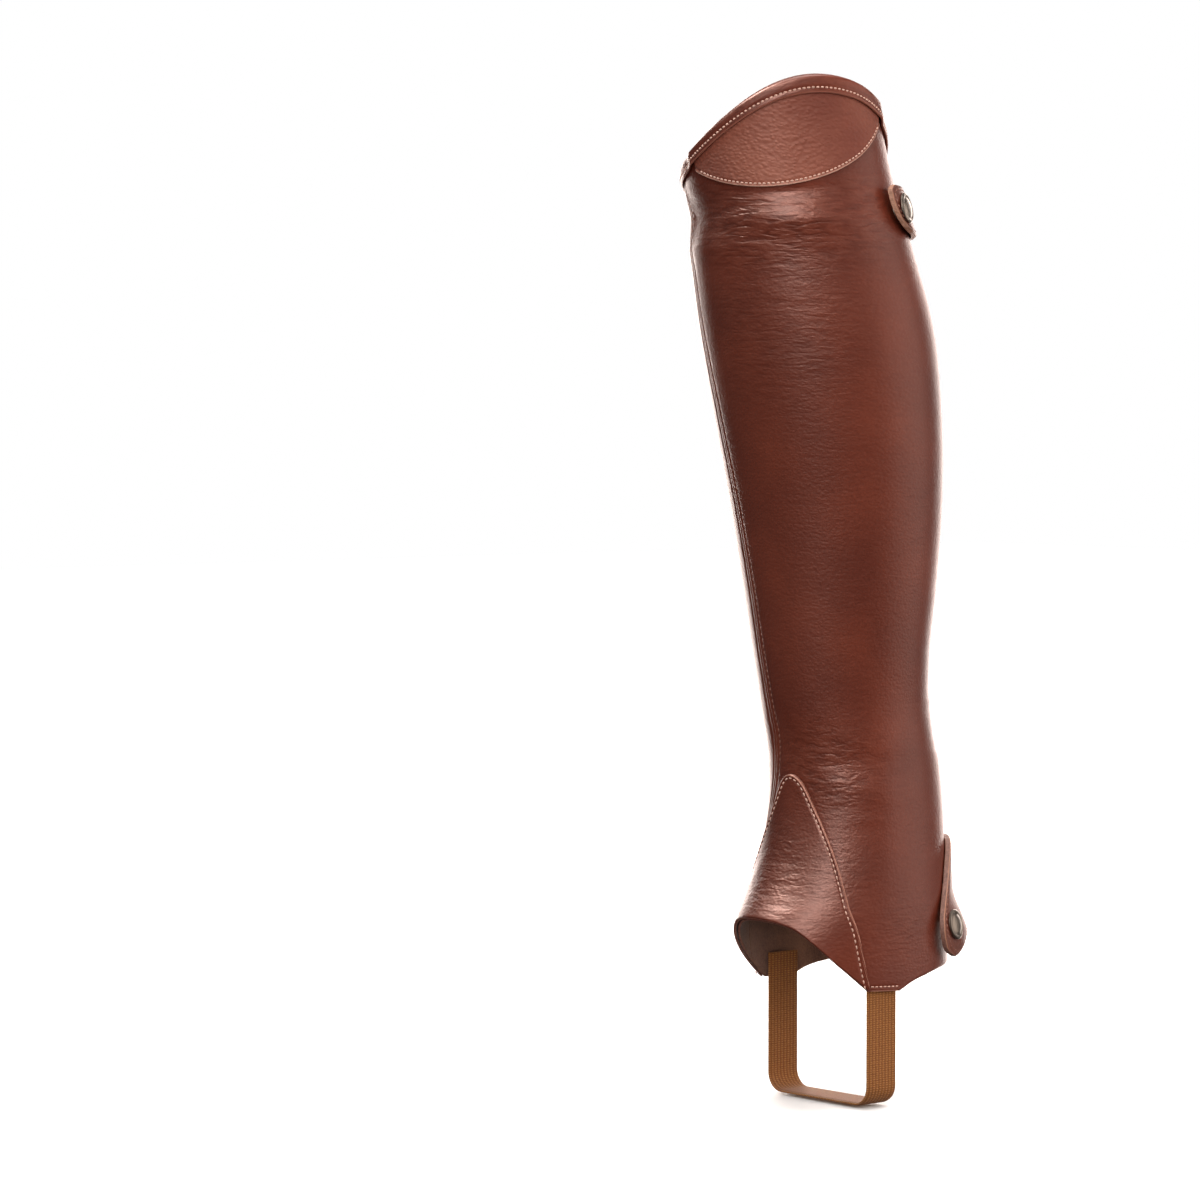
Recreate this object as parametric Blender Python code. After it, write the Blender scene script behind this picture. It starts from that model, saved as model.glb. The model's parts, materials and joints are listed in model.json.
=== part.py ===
"""A leather half chap for the left leg, filled out as it is worn, with the leg left out.

Millimetres and degrees are used up to the meshes, which are in metres. The shin faces -Y, the
outer side of the leg +X and the zip +Y. An azimuth runs round the leg from the shin: 0 at the
shin, 90 at the outer side, 180 at the zip and negative on the inner side. The origin is on the
leg's axis, where the ankle is narrowest.
"""

import math
from collections import namedtuple

import bmesh
import bpy
import numpy as np
from mathutils import Matrix, Vector

for leftover in list(bpy.data.objects):
    bpy.data.objects.remove(leftover, do_unlink=True)

MM = 0.001

# Driving dimensions of the leather
LEATHER = 1.8
CUFF_LEATHER = 1.3
GUSSET_LEATHER = 1.6
SEAM_GAP = 0.3
LAID_ON = 0.45
BINDING_LEATHER = 1.2
BINDING_OUTSIDE = 8.4
BINDING_WIDER = 1.3
BINDING_WIDEST_AT = 135.0
BINDING_INSIDE = 8.5
BINDING_FOLD = 0.36
BINDING_STEPS_OVER = 8.0

# The zip at the back, its slider and its pull tab
ZIP_SHOWS = 12.0
TAPE_WIDTH = 13.0
TAPE = 1.0
TAPE_SHORT_OF_HEM = 2.0
TAPE_SHORT_OF_RIM = 10.5
SLIDER_AT = 212.0
SLIDER_WIDTH = 10.4
SLIDER_NECK = 7.6
SLIDER_LENGTH = 15.0
SLIDER_PLATE = 1.0
SLIDER_CORNER = 1.5
SLIDER_NARROWS_AT = 1.0
SLIDER_FLANGE = 1.2
ARCH_WIDTH = 2.4
ARCH_THICK = 1.1
ARCH_INSIDE = 2.6
ARCH_BEND = 1.5
PIVOT_ABOVE_PLATE = 1.45
PULL_THICK = 1.4
PULL_BAR = 1.6
PULL_EYE_WIDTH = 3.4
PULL_EYE_LENGTH = 5.2
PULL_EYE_CORNER = 0.8

# Snap tabs and their fasteners
TAB_LEATHER = 2.8
TOP_TAB_HEIGHT = 22.0
TOP_TAB_MIDDLE = 243.0
TOP_TAB_FALL = 0.07
TOP_TAB_ROOT = 200.0
TOP_SNAP_AT = 114.5
FIN_TOP = -64.0
FIN_BOTTOM = -121.5
FIN_BOTTOM_RISE = 12.0
FIN_RISES = (126.0, 158.0)
FIN_ROOT = 206.0
FIN_FLARES = (-88.0, -112.0)
FIN_SNAP_AT = 128.0
FIN_SNAP_HEIGHT = -106.0
CAP_RADIUS = 7.4
CAP_RISE = 1.8
SOCKET_RADIUS = 4.6
SOCKET_BORE = 3.2
SOCKET_ROOF = 0.4
SOCKET_UNDER = 0.75
STUD_RADIUS = 4.2
STUD_FLANGE = 0.6
STUD_NECK = 2.6

# The elastic strap that passes under the sole
STRAP_WIDTH = 19.0
STRAP_THICK = 1.6
STRAP_CENTRE = -8.0
STRAP_OUTER = 36.9
STRAP_INNER = -35.6
STRAP_TOP = -122.0
STRAP_FOOT = -191.0
STRAP_BEND = 9.0
STRAP_BEND_STEPS = 6

# The leg's form: half sizes of each level section to the four sides of its centre line
Section = namedtuple("Section", "height centre outer inner front back")
FORM = [
    Section(-160, 0, 38.5, 37.5, 64.0, 60.0),
    Section(-140, 0, 40.0, 39.0, 64.0, 60.5),
    Section(-112, 0, 41.2, 39.7, 62.5, 59.7),
    Section(-100, 0, 41.5, 40.0, 57.0, 59.0),
    Section(-88, 0, 41.0, 39.6, 49.5, 58.8),
    Section(-74, 0, 40.1, 38.6, 43.2, 58.4),
    Section(-60, 0, 39.0, 37.5, 39.3, 58.0),
    Section(-40, 0, 38.0, 37.0, 36.5, 56.5),
    Section(-20, 0, 37.5, 36.5, 38.0, 53.0),
    Section(0, 0, 37.5, 36.5, 43.0, 46.5),
    Section(25, -1, 40.0, 39.5, 46.3, 45.5),
    Section(60, -3, 44.5, 44.5, 49.3, 50.5),
    Section(100, -6, 49.5, 49.5, 53.0, 55.5),
    Section(145, -12, 54.0, 54.0, 56.2, 59.2),
    Section(190, -20, 55.5, 55.5, 57.4, 59.8),
    Section(225, -28, 53.5, 53.5, 55.3, 54.3),
    Section(260, -36, 50.5, 49.8, 53.1, 48.3),
    Section(315, -46, 49.8, 49.5, 52.8, 44.5),
    Section(335, -50, 49.8, 49.5, 52.8, 44.0),
]

# The rim swings about its mean height in three waves round the leg
Wave = namedtuple("Wave", "times swing peak_at")
RIM_MEAN = 274.6
RIM_WAVES = [Wave(1, 28.1, 72.1), Wave(2, 4.35, 90.1), Wave(3, 1.84, 47.4)]

# The hem dips to a short straight tongue on each side, where the strap is sewn in
EdgePoint = namedtuple("EdgePoint", "azimuth height")
TONGUE_FRONT = 73.0
TONGUE_BACK = 91.0
HEM_FRONT = [
    EdgePoint(0, -99.5),
    EdgePoint(15, -100.3),
    EdgePoint(30, -103.5),
    EdgePoint(45, -111.5),
    EdgePoint(60, -123.0),
    EdgePoint(73, -134.0),
]
HEM_BACK = [
    EdgePoint(91, -135.0),
    EdgePoint(98, -131.8),
    EdgePoint(113, -128.5),
    EdgePoint(146, -126.5),
    EdgePoint(180, -125.5),
]

# The gusset's upper edge, from tongue to tongue over its apex
GUSSET = [
    EdgePoint(-73, -132.5),
    EdgePoint(-65, -112.0),
    EdgePoint(-48, -91.0),
    EdgePoint(-31, -69.5),
    EdgePoint(-19, -52.0),
    EdgePoint(-12, -42.5),
    EdgePoint(-5, -33.5),
    EdgePoint(0, -30.2),
    EdgePoint(5, -29.3),
    EdgePoint(10, -30.3),
    EdgePoint(15, -33.2),
    EdgePoint(23.5, -43.0),
    EdgePoint(31, -52.0),
    EdgePoint(43.5, -69.5),
    EdgePoint(56.0, -91.0),
    EdgePoint(67.5, -112.0),
    EdgePoint(73, -132.5),
]

# The front seam leans to the inner side above the calf and below the ankle
SeamPoint = namedtuple("SeamPoint", "height azimuth")
SEAM = [
    SeamPoint(-140, -66.0),
    SeamPoint(-120, -60.0),
    SeamPoint(-90, -48.0),
    SeamPoint(-65, -35.0),
    SeamPoint(-45, -24.0),
    SeamPoint(-30, -16.5),
    SeamPoint(-16, -12.5),
    SeamPoint(0, -10.5),
    SeamPoint(35, -12.5),
    SeamPoint(100, -17.0),
    SeamPoint(150, -21.5),
    SeamPoint(190, -26.5),
    SeamPoint(250, -33.0),
    SeamPoint(320, -39.0),
]

# The lens-shaped cuff's lower edge is an arc, lowest at this azimuth and height
CUFF_FIRST = -9.0
CUFF_LAST = 115.0
CUFF_LOW_AT = 34.0
CUFF_LOW = 253.6
CUFF_CURVE = 0.0047

# Each tab's front edge, by the share of the tab's height from its lower edge
FrontPoint = namedtuple("FrontPoint", "share azimuth")
TOP_TAB_FRONT = [
    FrontPoint(0.00, 118.0),
    FrontPoint(0.06, 113.5),
    FrontPoint(0.20, 109.0),
    FrontPoint(0.45, 105.6),
    FrontPoint(0.75, 104.4),
    FrontPoint(0.93, 105.6),
    FrontPoint(1.00, 108.5),
]
FIN_FRONT = [
    FrontPoint(0.00, 128.0),
    FrontPoint(0.05, 122.0),
    FrontPoint(0.15, 118.0),
    FrontPoint(0.32, 117.8),
    FrontPoint(0.56, 127.5),
    FrontPoint(0.84, 138.5),
    FrontPoint(0.95, 147.0),
    FrontPoint(1.00, 158.0),
]

# How far each tab's inner face stands off the leather
StandPoint = namedtuple("StandPoint", "azimuth stand")
TOP_TAB_STAND = [
    StandPoint(104, 3.2),
    StandPoint(115, 3.0),
    StandPoint(126, 1.5),
    StandPoint(137, 0.5),
    StandPoint(163, 0.5),
    StandPoint(182, 2.1),
    StandPoint(200, 2.1),
]
FIN_STAND = [
    StandPoint(117, 3.0),
    StandPoint(128, 4.2),
    StandPoint(140, 6.0),
    StandPoint(150, 6.9),
    StandPoint(160, 6.6),
    StandPoint(178, 4.0),
    StandPoint(196, 0.5),
    StandPoint(206, 0.5),
]

# Soft hollows and swells of the leather. Rise is outwards, and lean slants a fold
Fold = namedtuple("Fold", "azimuth height wide tall rise lean")
FOLDS = [
    Fold(-20, 241, 36, 8.0, -1.8, 0.02),
    Fold(-2, 226, 30, 7.0, 0.8, 0.03),
    Fold(42, 240, 26, 7.5, 0.9, -0.05),
    Fold(-100, 226, 34, 8.0, -1.0, 0.03),
    Fold(-4, -10, 12, 12.0, -1.2, 0.0),
    Fold(165, -14, 26, 6.0, -1.3, 0.04),
    Fold(170, 2, 24, 6.0, 0.7, 0.02),
    Fold(-120, -18, 40, 7.0, -1.1, -0.03),
    Fold(-110, -2, 36, 6.5, 0.6, -0.02),
    Fold(58, -22, 30, 6.5, -0.7, -0.05),
    Fold(66, -38, 32, 6.5, 0.6, -0.05),
]


def along(table, x, column, place):
    """A smooth curve through a table's rows, with one cubic between each two of them."""
    at = np.array([getattr(row, place) for row in table], float)
    values = np.array([getattr(row, column) for row in table], float)
    x = np.clip(x, at[0], at[-1])
    row = np.clip(np.searchsorted(at, x, side="right") - 1, 0, len(at) - 2)
    step = at[row + 1] - at[row]
    t = (x - at[row]) / step
    slope = np.gradient(values, at)
    return (
        (2 * t**3 - 3 * t**2 + 1) * values[row]
        + (t**3 - 2 * t**2 + t) * step * slope[row]
        + (3 * t**2 - 2 * t**3) * values[row + 1]
        + (t**3 - t**2) * step * slope[row + 1]
    )


def eased(share):
    """0 to 1, level at both ends."""
    share = np.clip(share, 0, 1)
    return share * share * (3 - 2 * share)


def folds(azimuth, height):
    """How far the soft folds lift the leather."""
    lift = np.zeros(np.shape(height))
    for fold in FOLDS:
        away = (azimuth - fold.azimuth + 180) % 360 - 180
        above = height - fold.height - fold.lean * away
        lift = lift + fold.rise * np.exp(-((away / fold.wide) ** 2) - (above / fold.tall) ** 2)
    return lift


def form(azimuth, height):
    """The smooth form that the leather's outer face follows."""
    angle = np.radians(azimuth)
    centre, outer, inner, front, back = (
        along(FORM, height, column, "height") for column in Section._fields[1:]
    )
    x = np.where(np.sin(angle) > 0, outer, inner) * np.sin(angle)
    y = centre - np.where(np.cos(angle) > 0, front, back) * np.cos(angle)
    return np.stack([x, y, height], axis=-1)


def upwards(azimuth, height):
    """The direction up the form."""
    rise = form(azimuth, height + 0.5) - form(azimuth, height - 0.5)
    return rise / np.linalg.norm(rise, axis=-1, keepdims=True)


def outwards(azimuth, height):
    """The form's outward direction."""
    turn = form(azimuth + 0.5, height) - form(azimuth - 0.5, height)
    normal = np.cross(turn, upwards(azimuth, height))
    return normal / np.linalg.norm(normal, axis=-1, keepdims=True)


def skin(azimuth, height, out=0.0):
    """Points that lie a distance out from the leather's outer face."""
    azimuth, height, out = (
        np.array(values) for values in np.broadcast_arrays(azimuth, height, out)
    )
    azimuth, height = azimuth.astype(float), height.astype(float)
    lift = out + folds(azimuth, height)
    return form(azimuth, height) + outwards(azimuth, height) * lift[..., None]


def degrees_of(width, height):
    """The azimuth that a width takes up at the shin or at the zip."""
    return np.degrees(width / along(FORM, height, "outer", "height"))


def rim(azimuth):
    """The top edge, highest at the outer side of the front."""
    return RIM_MEAN + sum(
        wave.swing * np.cos(np.radians(wave.times * (azimuth - wave.peak_at)))
        for wave in RIM_WAVES
    )


def panel_top(azimuth):
    """The panels' top edge, inside the binding."""
    return rim(azimuth) - BINDING_LEATHER - SEAM_GAP


def hem(azimuth):
    """The lower edge, the same on both sides of the leg."""
    side = np.abs((np.asarray(azimuth, float) + 180) % 360 - 180)
    before = along(HEM_FRONT, side, "height", "azimuth")
    behind = along(HEM_BACK, side, "height", "azimuth")
    share = np.clip((side - TONGUE_FRONT) / (TONGUE_BACK - TONGUE_FRONT), 0, 1)
    tongue = HEM_FRONT[-1].height * (1 - share) + HEM_BACK[0].height * share
    return np.where(share <= 0, before, np.where(share >= 1, behind, tongue))


def piece(name, shape, colour, roughness, metallic=0.0):
    """One named object from a bmesh, with a material of its own."""
    bmesh.ops.recalc_face_normals(shape, faces=shape.faces)
    mesh = bpy.data.meshes.new(name)
    shape.to_mesh(mesh)
    shape.free()
    mesh.shade_smooth()
    mesh.set_sharp_from_angle(angle=math.radians(35))
    material = bpy.data.materials.new(name)
    material.use_nodes = True
    shader = material.node_tree.nodes["Principled BSDF"]
    shader.inputs["Base Color"].default_value = (*colour, 1.0)
    shader.inputs["Roughness"].default_value = roughness
    shader.inputs["Metallic"].default_value = metallic
    mesh.materials.append(material)
    made = bpy.data.objects.new(name, mesh)
    bpy.context.collection.objects.link(made)
    return made


def closed_wall(outside, inside):
    """A closed wall between two grids of points."""
    rows, columns = outside.shape[:2]
    shape = bmesh.new()
    near, far = (
        [[shape.verts.new(point * MM) for point in row] for row in grid]
        for grid in (outside, inside)
    )
    for r in range(rows - 1):
        for c in range(columns - 1):
            corners = ((r, c), (r, c + 1), (r + 1, c + 1), (r + 1, c))
            shape.faces.new([near[i][j] for i, j in corners])
            shape.faces.new([far[i][j] for i, j in reversed(corners)])
    border = [(0, c) for c in range(columns)]
    border += [(r, columns - 1) for r in range(1, rows)]
    border += [(rows - 1, c) for c in range(columns - 2, -1, -1)]
    border += [(r, 0) for r in range(rows - 2, 0, -1)]
    for (r, c), (i, j) in zip(border, border[1:] + border[:1]):
        shape.faces.new([far[r][c], far[i][j], near[i][j], near[r][c]])
    return shape


def laid(azimuth, height, low, thick):
    """A closed wall on the form, from grids of azimuth, height and distance out."""
    return closed_wall(skin(azimuth, height, low + thick), skin(azimuth, height, low))


def spans(stops, counts):
    """Evenly spaced columns in each of several spans."""
    columns = [
        first + (last - first) * step / count
        for first, last, count in zip(stops, stops[1:], counts)
        for step in range(count)
    ]
    return np.array([*columns, stops[-1]], float)


def between(columns, bottom, top, rows):
    """Grids of azimuth and height over the columns, from a lower to an upper edge."""
    share = np.linspace(0, 1, rows + 1)[:, None]
    azimuth = np.broadcast_to(columns, (rows + 1, len(columns)))
    return azimuth, bottom(columns) + (top(columns) - bottom(columns)) * share


# The two leather panels, butted at the front seam and parted by the zip at the back. Their rows
# are closest at the ankle and under the rim, where the form bends most
LEATHER_COLOUR = (0.125, 0.033, 0.021)
PANEL_SHARES = (0.0, 0.26, 0.36, 0.84, 1.0)
PANEL_ROWS = (13, 4, 10, 7)


def zip_edge(height):
    """How far the zip's opening reaches from the middle of the back, in degrees."""
    return degrees_of(ZIP_SHOWS / 2, height)


def seam_at(height):
    """Azimuth of the front seam."""
    return along(SEAM, height, "azimuth", "height")


def panel(name, first, middle, last, counts):
    """A panel from the hem to the binding, whose two upright edges depend on the height."""
    azimuths, heights = [], []
    for share in spans(PANEL_SHARES, PANEL_ROWS):
        ends = [hem(90) + (panel_top(90) - hem(90)) * share] * 2
        for _ in range(8):
            columns = spans([first(ends[0]), *middle, last(ends[1])], counts)
            height = hem(columns) + (panel_top(columns) - hem(columns)) * share
            ends = height[0], height[-1]
        azimuths.append(columns)
        heights.append(height)
    shape = laid(np.array(azimuths), np.array(heights), -LEATHER, LEATHER)
    return piece(name, shape, LEATHER_COLOUR, 0.42)


panel(
    "outer_panel",
    lambda height: seam_at(height) + degrees_of(SEAM_GAP / 2, height),
    (TONGUE_FRONT, TONGUE_BACK),
    lambda height: 180 - zip_edge(height),
    (14, 2, 12),
)
panel(
    "inner_panel",
    lambda height: zip_edge(height) - 180,
    (-TONGUE_BACK, -TONGUE_FRONT),
    lambda height: seam_at(height) - degrees_of(SEAM_GAP / 2, height),
    (12, 2, 9),
)


# The cuff, a lens of leather laid on the outer panel under the binding
def cuff_edge(azimuth):
    """Height of the cuff's lower edge."""
    return CUFF_LOW + CUFF_CURVE * (azimuth - CUFF_LOW_AT) ** 2


cuff_columns = spans((CUFF_FIRST, CUFF_LAST), (20,))
cuff_places = between(cuff_columns, cuff_edge, panel_top, 6)
piece("cuff_panel", laid(*cuff_places, LAID_ON, CUFF_LEATHER), LEATHER_COLOUR, 0.5)


# The instep gusset, a rounded triangle laid over the two panels
def gusset_edge(azimuth):
    """Height of the gusset's upper edge."""
    return along(GUSSET, azimuth, "height", "azimuth")


gusset_columns = spans((-73.0, -46.0, -12.0, 5.0, 24.0, 46.0, 73.0), (6, 5, 3, 3, 4, 7))
gusset_places = between(gusset_columns, hem, gusset_edge, 12)
piece("instep_gusset", laid(*gusset_places, LAID_ON, GUSSET_LEATHER), LEATHER_COLOUR, 0.42)


# The binding, a leather strip folded over the rim, and over the cuff where that lies beneath
def binding_outline(azimuth):
    """The strip's folded outline at one azimuth: rows of distance out and drop below the rim."""
    past_cuff = max(CUFF_FIRST - azimuth, azimuth - CUFF_LAST)
    face = LAID_ON + (CUFF_LEATHER + LAID_ON) * eased(1 - past_cuff / BINDING_STEPS_OVER)
    back = -LEATHER - LAID_ON
    thick = BINDING_LEATHER
    width = BINDING_OUTSIDE + BINDING_WIDER * math.cos(math.radians(azimuth - BINDING_WIDEST_AT))
    return [
        (face, width),
        (face + thick, width),
        (face + thick, thick),
        (face + BINDING_FOLD, 0.0),
        (back - BINDING_FOLD, 0.0),
        (back - thick, thick),
        (back - thick, BINDING_INSIDE),
        (back, BINDING_INSIDE),
        (back, thick),
        (face, thick),
    ]


def swept(loops):
    """A closed solid through a row of closed loops, capped at both ends."""
    shape = bmesh.new()
    rings = [[shape.verts.new(point * MM) for point in loop] for loop in loops]
    for ring, following in zip(rings, rings[1:]):
        for i in range(len(ring)):
            j = (i + 1) % len(ring)
            shape.faces.new([ring[i], ring[j], following[j], following[i]])
    shape.faces.new(rings[0][::-1])
    shape.faces.new(rings[-1])
    return shape


def binding_loop(azimuth):
    """The strip's outline set on the form, down from the rim."""
    out, drop = np.array(binding_outline(azimuth)).T
    return skin(azimuth, rim(azimuth) - drop, out)


rim_end = zip_edge(rim(180.0))
rim_columns = spans((rim_end - 180, -90.0, 0.0, 90.0, 180 - rim_end), (10, 12, 14, 12))
binding_loops = [binding_loop(azimuth) for azimuth in rim_columns]
piece("top_binding", swept(binding_loops), LEATHER_COLOUR, 0.4)


# The zip's two tapes, inside the panels, which meet at the middle of the back
TAPE_COLOUR = (0.05, 0.018, 0.012)


def tape(name, side):
    """One tape. The side is 1 on the outer side of the leg and -1 on the inner side."""
    share = spans(PANEL_SHARES, PANEL_ROWS)[:, None]
    low = hem(180.0) + TAPE_SHORT_OF_HEM
    level = low + (rim(180.0) - TAPE_SHORT_OF_RIM - low) * share
    reach = np.array([SEAM_GAP / 2, TAPE_WIDTH / 2, TAPE_WIDTH])
    azimuth = 180 - side * degrees_of(reach, level)
    height = low + (rim(azimuth) - TAPE_SHORT_OF_RIM - low) * share
    shape = laid(azimuth, height, -LEATHER - LAID_ON - TAPE, TAPE)
    return piece(name, shape, TAPE_COLOUR, 0.8)


tape("zip_tape_outer", 1)
tape("zip_tape_inner", -1)


# Metal pieces, made flat and seated on the form: across is +X, up the form +Y, outwards +Z
NICKEL = (0.56, 0.53, 0.49)


def seat(azimuth, height, out):
    """The place and turn of a piece on a face whose distance out is a function of the place."""

    def face(azimuth, height):
        return Vector(skin(azimuth, height, out(azimuth, height)))

    up = face(azimuth, height + 0.5) - face(azimuth, height - 0.5)
    away = (face(azimuth + 0.5, height) - face(azimuth - 0.5, height)).cross(up).normalized()
    up.normalize()
    axes = Matrix([up.cross(away), up, away]).transposed().to_4x4()
    return Matrix.Translation(face(azimuth, height) * MM) @ axes


def cut_from_sheet(outline, low, high):
    """A flat piece from its outline, between two heights."""
    shape = bmesh.new()
    lower = [shape.verts.new((x * MM, y * MM, low * MM)) for x, y in outline]
    upper = [shape.verts.new((x * MM, y * MM, high * MM)) for x, y in outline]
    shape.faces.new(lower[::-1])
    shape.faces.new(upper)
    for i in range(len(outline)):
        j = (i + 1) % len(outline)
        shape.faces.new([lower[i], lower[j], upper[j], upper[i]])
    return shape


def turned(profile, steps):
    """A round piece from its profile of radius and height, closed where the radius is 0."""
    shape = bmesh.new()
    rings = []
    for radius, height in profile:
        if radius == 0:
            rings.append([shape.verts.new((0, 0, height * MM))])
            continue
        angles = [2 * math.pi * step / steps for step in range(steps)]
        ring = [(radius * math.cos(a) * MM, radius * math.sin(a) * MM, height * MM) for a in angles]
        rings.append([shape.verts.new(point) for point in ring])
    for ring, following in zip(rings, rings[1:]):
        for i in range(steps):
            j = (i + 1) % steps
            corners = [ring[i % len(ring)], ring[j % len(ring)]]
            corners += [following[j % len(following)], following[i % len(following)]]
            shape.faces.new(list(dict.fromkeys(corners)))
    return shape


def joined(made, shape, operation):
    """Adds a second shape to an object, or cuts it away, with a Boolean."""
    mesh = bpy.data.meshes.new(made.name + "_" + operation.lower())
    bmesh.ops.recalc_face_normals(shape, faces=shape.faces)
    shape.to_mesh(mesh)
    shape.free()
    tool = bpy.data.objects.new(mesh.name, mesh)
    bpy.context.collection.objects.link(tool)
    tool.matrix_world = made.matrix_world
    tool.hide_render = True
    tool.display_type = "WIRE"
    boolean = made.modifiers.new(operation.title(), "BOOLEAN")
    boolean.operation = operation
    boolean.object = tool


def rounded_box(wide, tall, corner, steps=2):
    """The outline of a rectangle with round corners."""
    outline = []
    for quarter in range(4):
        turn = quarter * math.pi / 2
        x = (wide / 2 - corner) * (1 if quarter in (0, 3) else -1)
        y = (tall / 2 - corner) * (1 if quarter in (0, 1) else -1)
        for step in range(steps + 1):
            angle = turn + step * math.pi / 2 / steps
            outline.append((x + corner * math.cos(angle), y + corner * math.sin(angle)))
    return outline


def both_sides(half):
    """A closed outline from its right half, listed from the middle's top downwards."""
    return half + [(-x, y) for x, y in reversed(half)]


# The slider's body bridges the teeth, with its edges turned down to the tapes. The leather's
# outer face is level with its top
slider_half_width = SLIDER_WIDTH / 2
slider_half_length = SLIDER_LENGTH / 2
shoulder = slider_half_length - SLIDER_CORNER
slider_outline = both_sides(
    [
        (slider_half_width - SLIDER_CORNER, slider_half_length),
        (slider_half_width, shoulder),
        (slider_half_width, SLIDER_NARROWS_AT),
        (SLIDER_NECK / 2, -shoulder),
        (SLIDER_NECK / 2 - SLIDER_CORNER, -slider_half_length),
    ]
)
slider = piece("zip_slider", cut_from_sheet(slider_outline, -SLIDER_PLATE, 0), NICKEL, 0.3, 1.0)
slider.matrix_world = seat(180.0, SLIDER_AT, lambda *place: 0.0)
flange_low = -LEATHER - LAID_ON + SEAM_GAP
for side in (-1, 1):
    edge = side * slider_half_width
    inner = side * (slider_half_width - SLIDER_FLANGE)
    low, high = SLIDER_NARROWS_AT, shoulder
    flange = [(edge, low), (edge, high), (inner, high), (inner, low)]
    joined(slider, cut_from_sheet(flange, flange_low, -SLIDER_PLATE / 2), "UNION")


# The arch over the pull tab's bar stands on the slider's body
def arch_side(reach, top, bend):
    """Half of one face of the arch, from its top to its foot inside the slider's body."""
    return [(reach - bend, top), (reach, top - bend), (reach, -SLIDER_PLATE / 2)]


arch_top = 2 * PIVOT_ABOVE_PLATE
arch_outside = arch_side(ARCH_INSIDE + ARCH_THICK, arch_top + ARCH_THICK, ARCH_BEND)
arch_inside = arch_side(ARCH_INSIDE, arch_top, ARCH_BEND / 2)
arch_outline = arch_outside + arch_inside[::-1]
arch_outline += [(-x, y) for x, y in arch_inside] + [(-x, y) for x, y in arch_outside[::-1]]
arch = cut_from_sheet(arch_outline, -ARCH_WIDTH / 2, ARCH_WIDTH / 2)
on_edge = Matrix([(0, 0, 1), (1, 0, 0), (0, 1, 0)]).to_4x4()
bmesh.ops.transform(arch, matrix=on_edge, verts=arch.verts)
joined(slider, arch, "UNION")

# The pull tab hangs from its bar inside the arch, and its origin is on the bar's axis. Its
# outline is a row for each corner, by the height from the axis and the half width there
PullCorner = namedtuple("PullCorner", "height half_width")
PULL_OUTLINE = [
    PullCorner(0.8, 2.8),
    PullCorner(0.2, 3.4),
    PullCorner(-7.0, 3.4),
    PullCorner(-9.5, 2.3),
    PullCorner(-18.2, 2.3),
    PullCorner(-21.7, 3.4),
    PullCorner(-25.0, 3.4),
    PullCorner(-27.2, 1.4),
]
pull_outline = both_sides([(corner.half_width, corner.height) for corner in PULL_OUTLINE])
pull_sheet = cut_from_sheet(pull_outline, -PULL_THICK / 2, PULL_THICK / 2)
pull = piece("zip_pull", pull_sheet, NICKEL, 0.3, 1.0)
pull.matrix_world = slider.matrix_world @ Matrix.Translation((0, 0, PIVOT_ABOVE_PLATE * MM))
eye_middle = -(PULL_BAR + PULL_EYE_LENGTH) / 2
eye_outline = rounded_box(PULL_EYE_WIDTH, PULL_EYE_LENGTH, PULL_EYE_CORNER)
eye = [(x, y + eye_middle) for x, y in eye_outline]
joined(pull, cut_from_sheet(eye, -PULL_THICK, PULL_THICK), "DIFFERENCE")


# Both tabs are two layers of leather, sewn on at the inner side of the zip and closed past it
def tab(name, front, root, low, high, stand):
    """A tab between two edges. The front edge is a table, and the stand-off a function."""
    share = spans((0.0, 0.2, 0.8, 1.0), (4, 5, 3))[:, None]
    first = along(front, share, "azimuth", "share")
    azimuth = first + (root - first) * np.linspace(0, 1, 13)
    height = low(azimuth) + (high(azimuth) - low(azimuth)) * share
    shape = laid(azimuth, height, stand(azimuth, height), TAB_LEATHER)
    return piece(name, shape, LEATHER_COLOUR, 0.42)


def top_tab_middle(azimuth):
    """Height of the top tab's centre line, which falls towards its root."""
    return TOP_TAB_MIDDLE - TOP_TAB_FALL * (azimuth - TOP_TAB_FRONT[0].azimuth)


def top_tab_stand(azimuth, height):
    """The top tab lies on the leather behind its snap, and on the binding at its root."""
    return along(TOP_TAB_STAND, azimuth, "stand", "azimuth")


def fin_low(azimuth):
    """The bottom tab's lower edge, which rises towards the back."""
    first, last = FIN_RISES
    return FIN_BOTTOM + FIN_BOTTOM_RISE * eased((azimuth - first) / (last - first))


def fin_stand(azimuth, height):
    """The bottom tab lies on the leather at its top and flares below."""
    top, low = FIN_FLARES
    flare = eased((height - top) / (low - top))
    return LAID_ON + flare * along(FIN_STAND, azimuth, "stand", "azimuth")


tab(
    "top_tab",
    TOP_TAB_FRONT,
    TOP_TAB_ROOT,
    lambda azimuth: top_tab_middle(azimuth) - TOP_TAB_HEIGHT / 2,
    lambda azimuth: top_tab_middle(azimuth) + TOP_TAB_HEIGHT / 2,
    top_tab_stand,
)
tab(
    "bottom_tab",
    FIN_FRONT,
    FIN_ROOT,
    fin_low,
    lambda azimuth: np.full(np.shape(azimuth), FIN_TOP),
    fin_stand,
)


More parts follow.
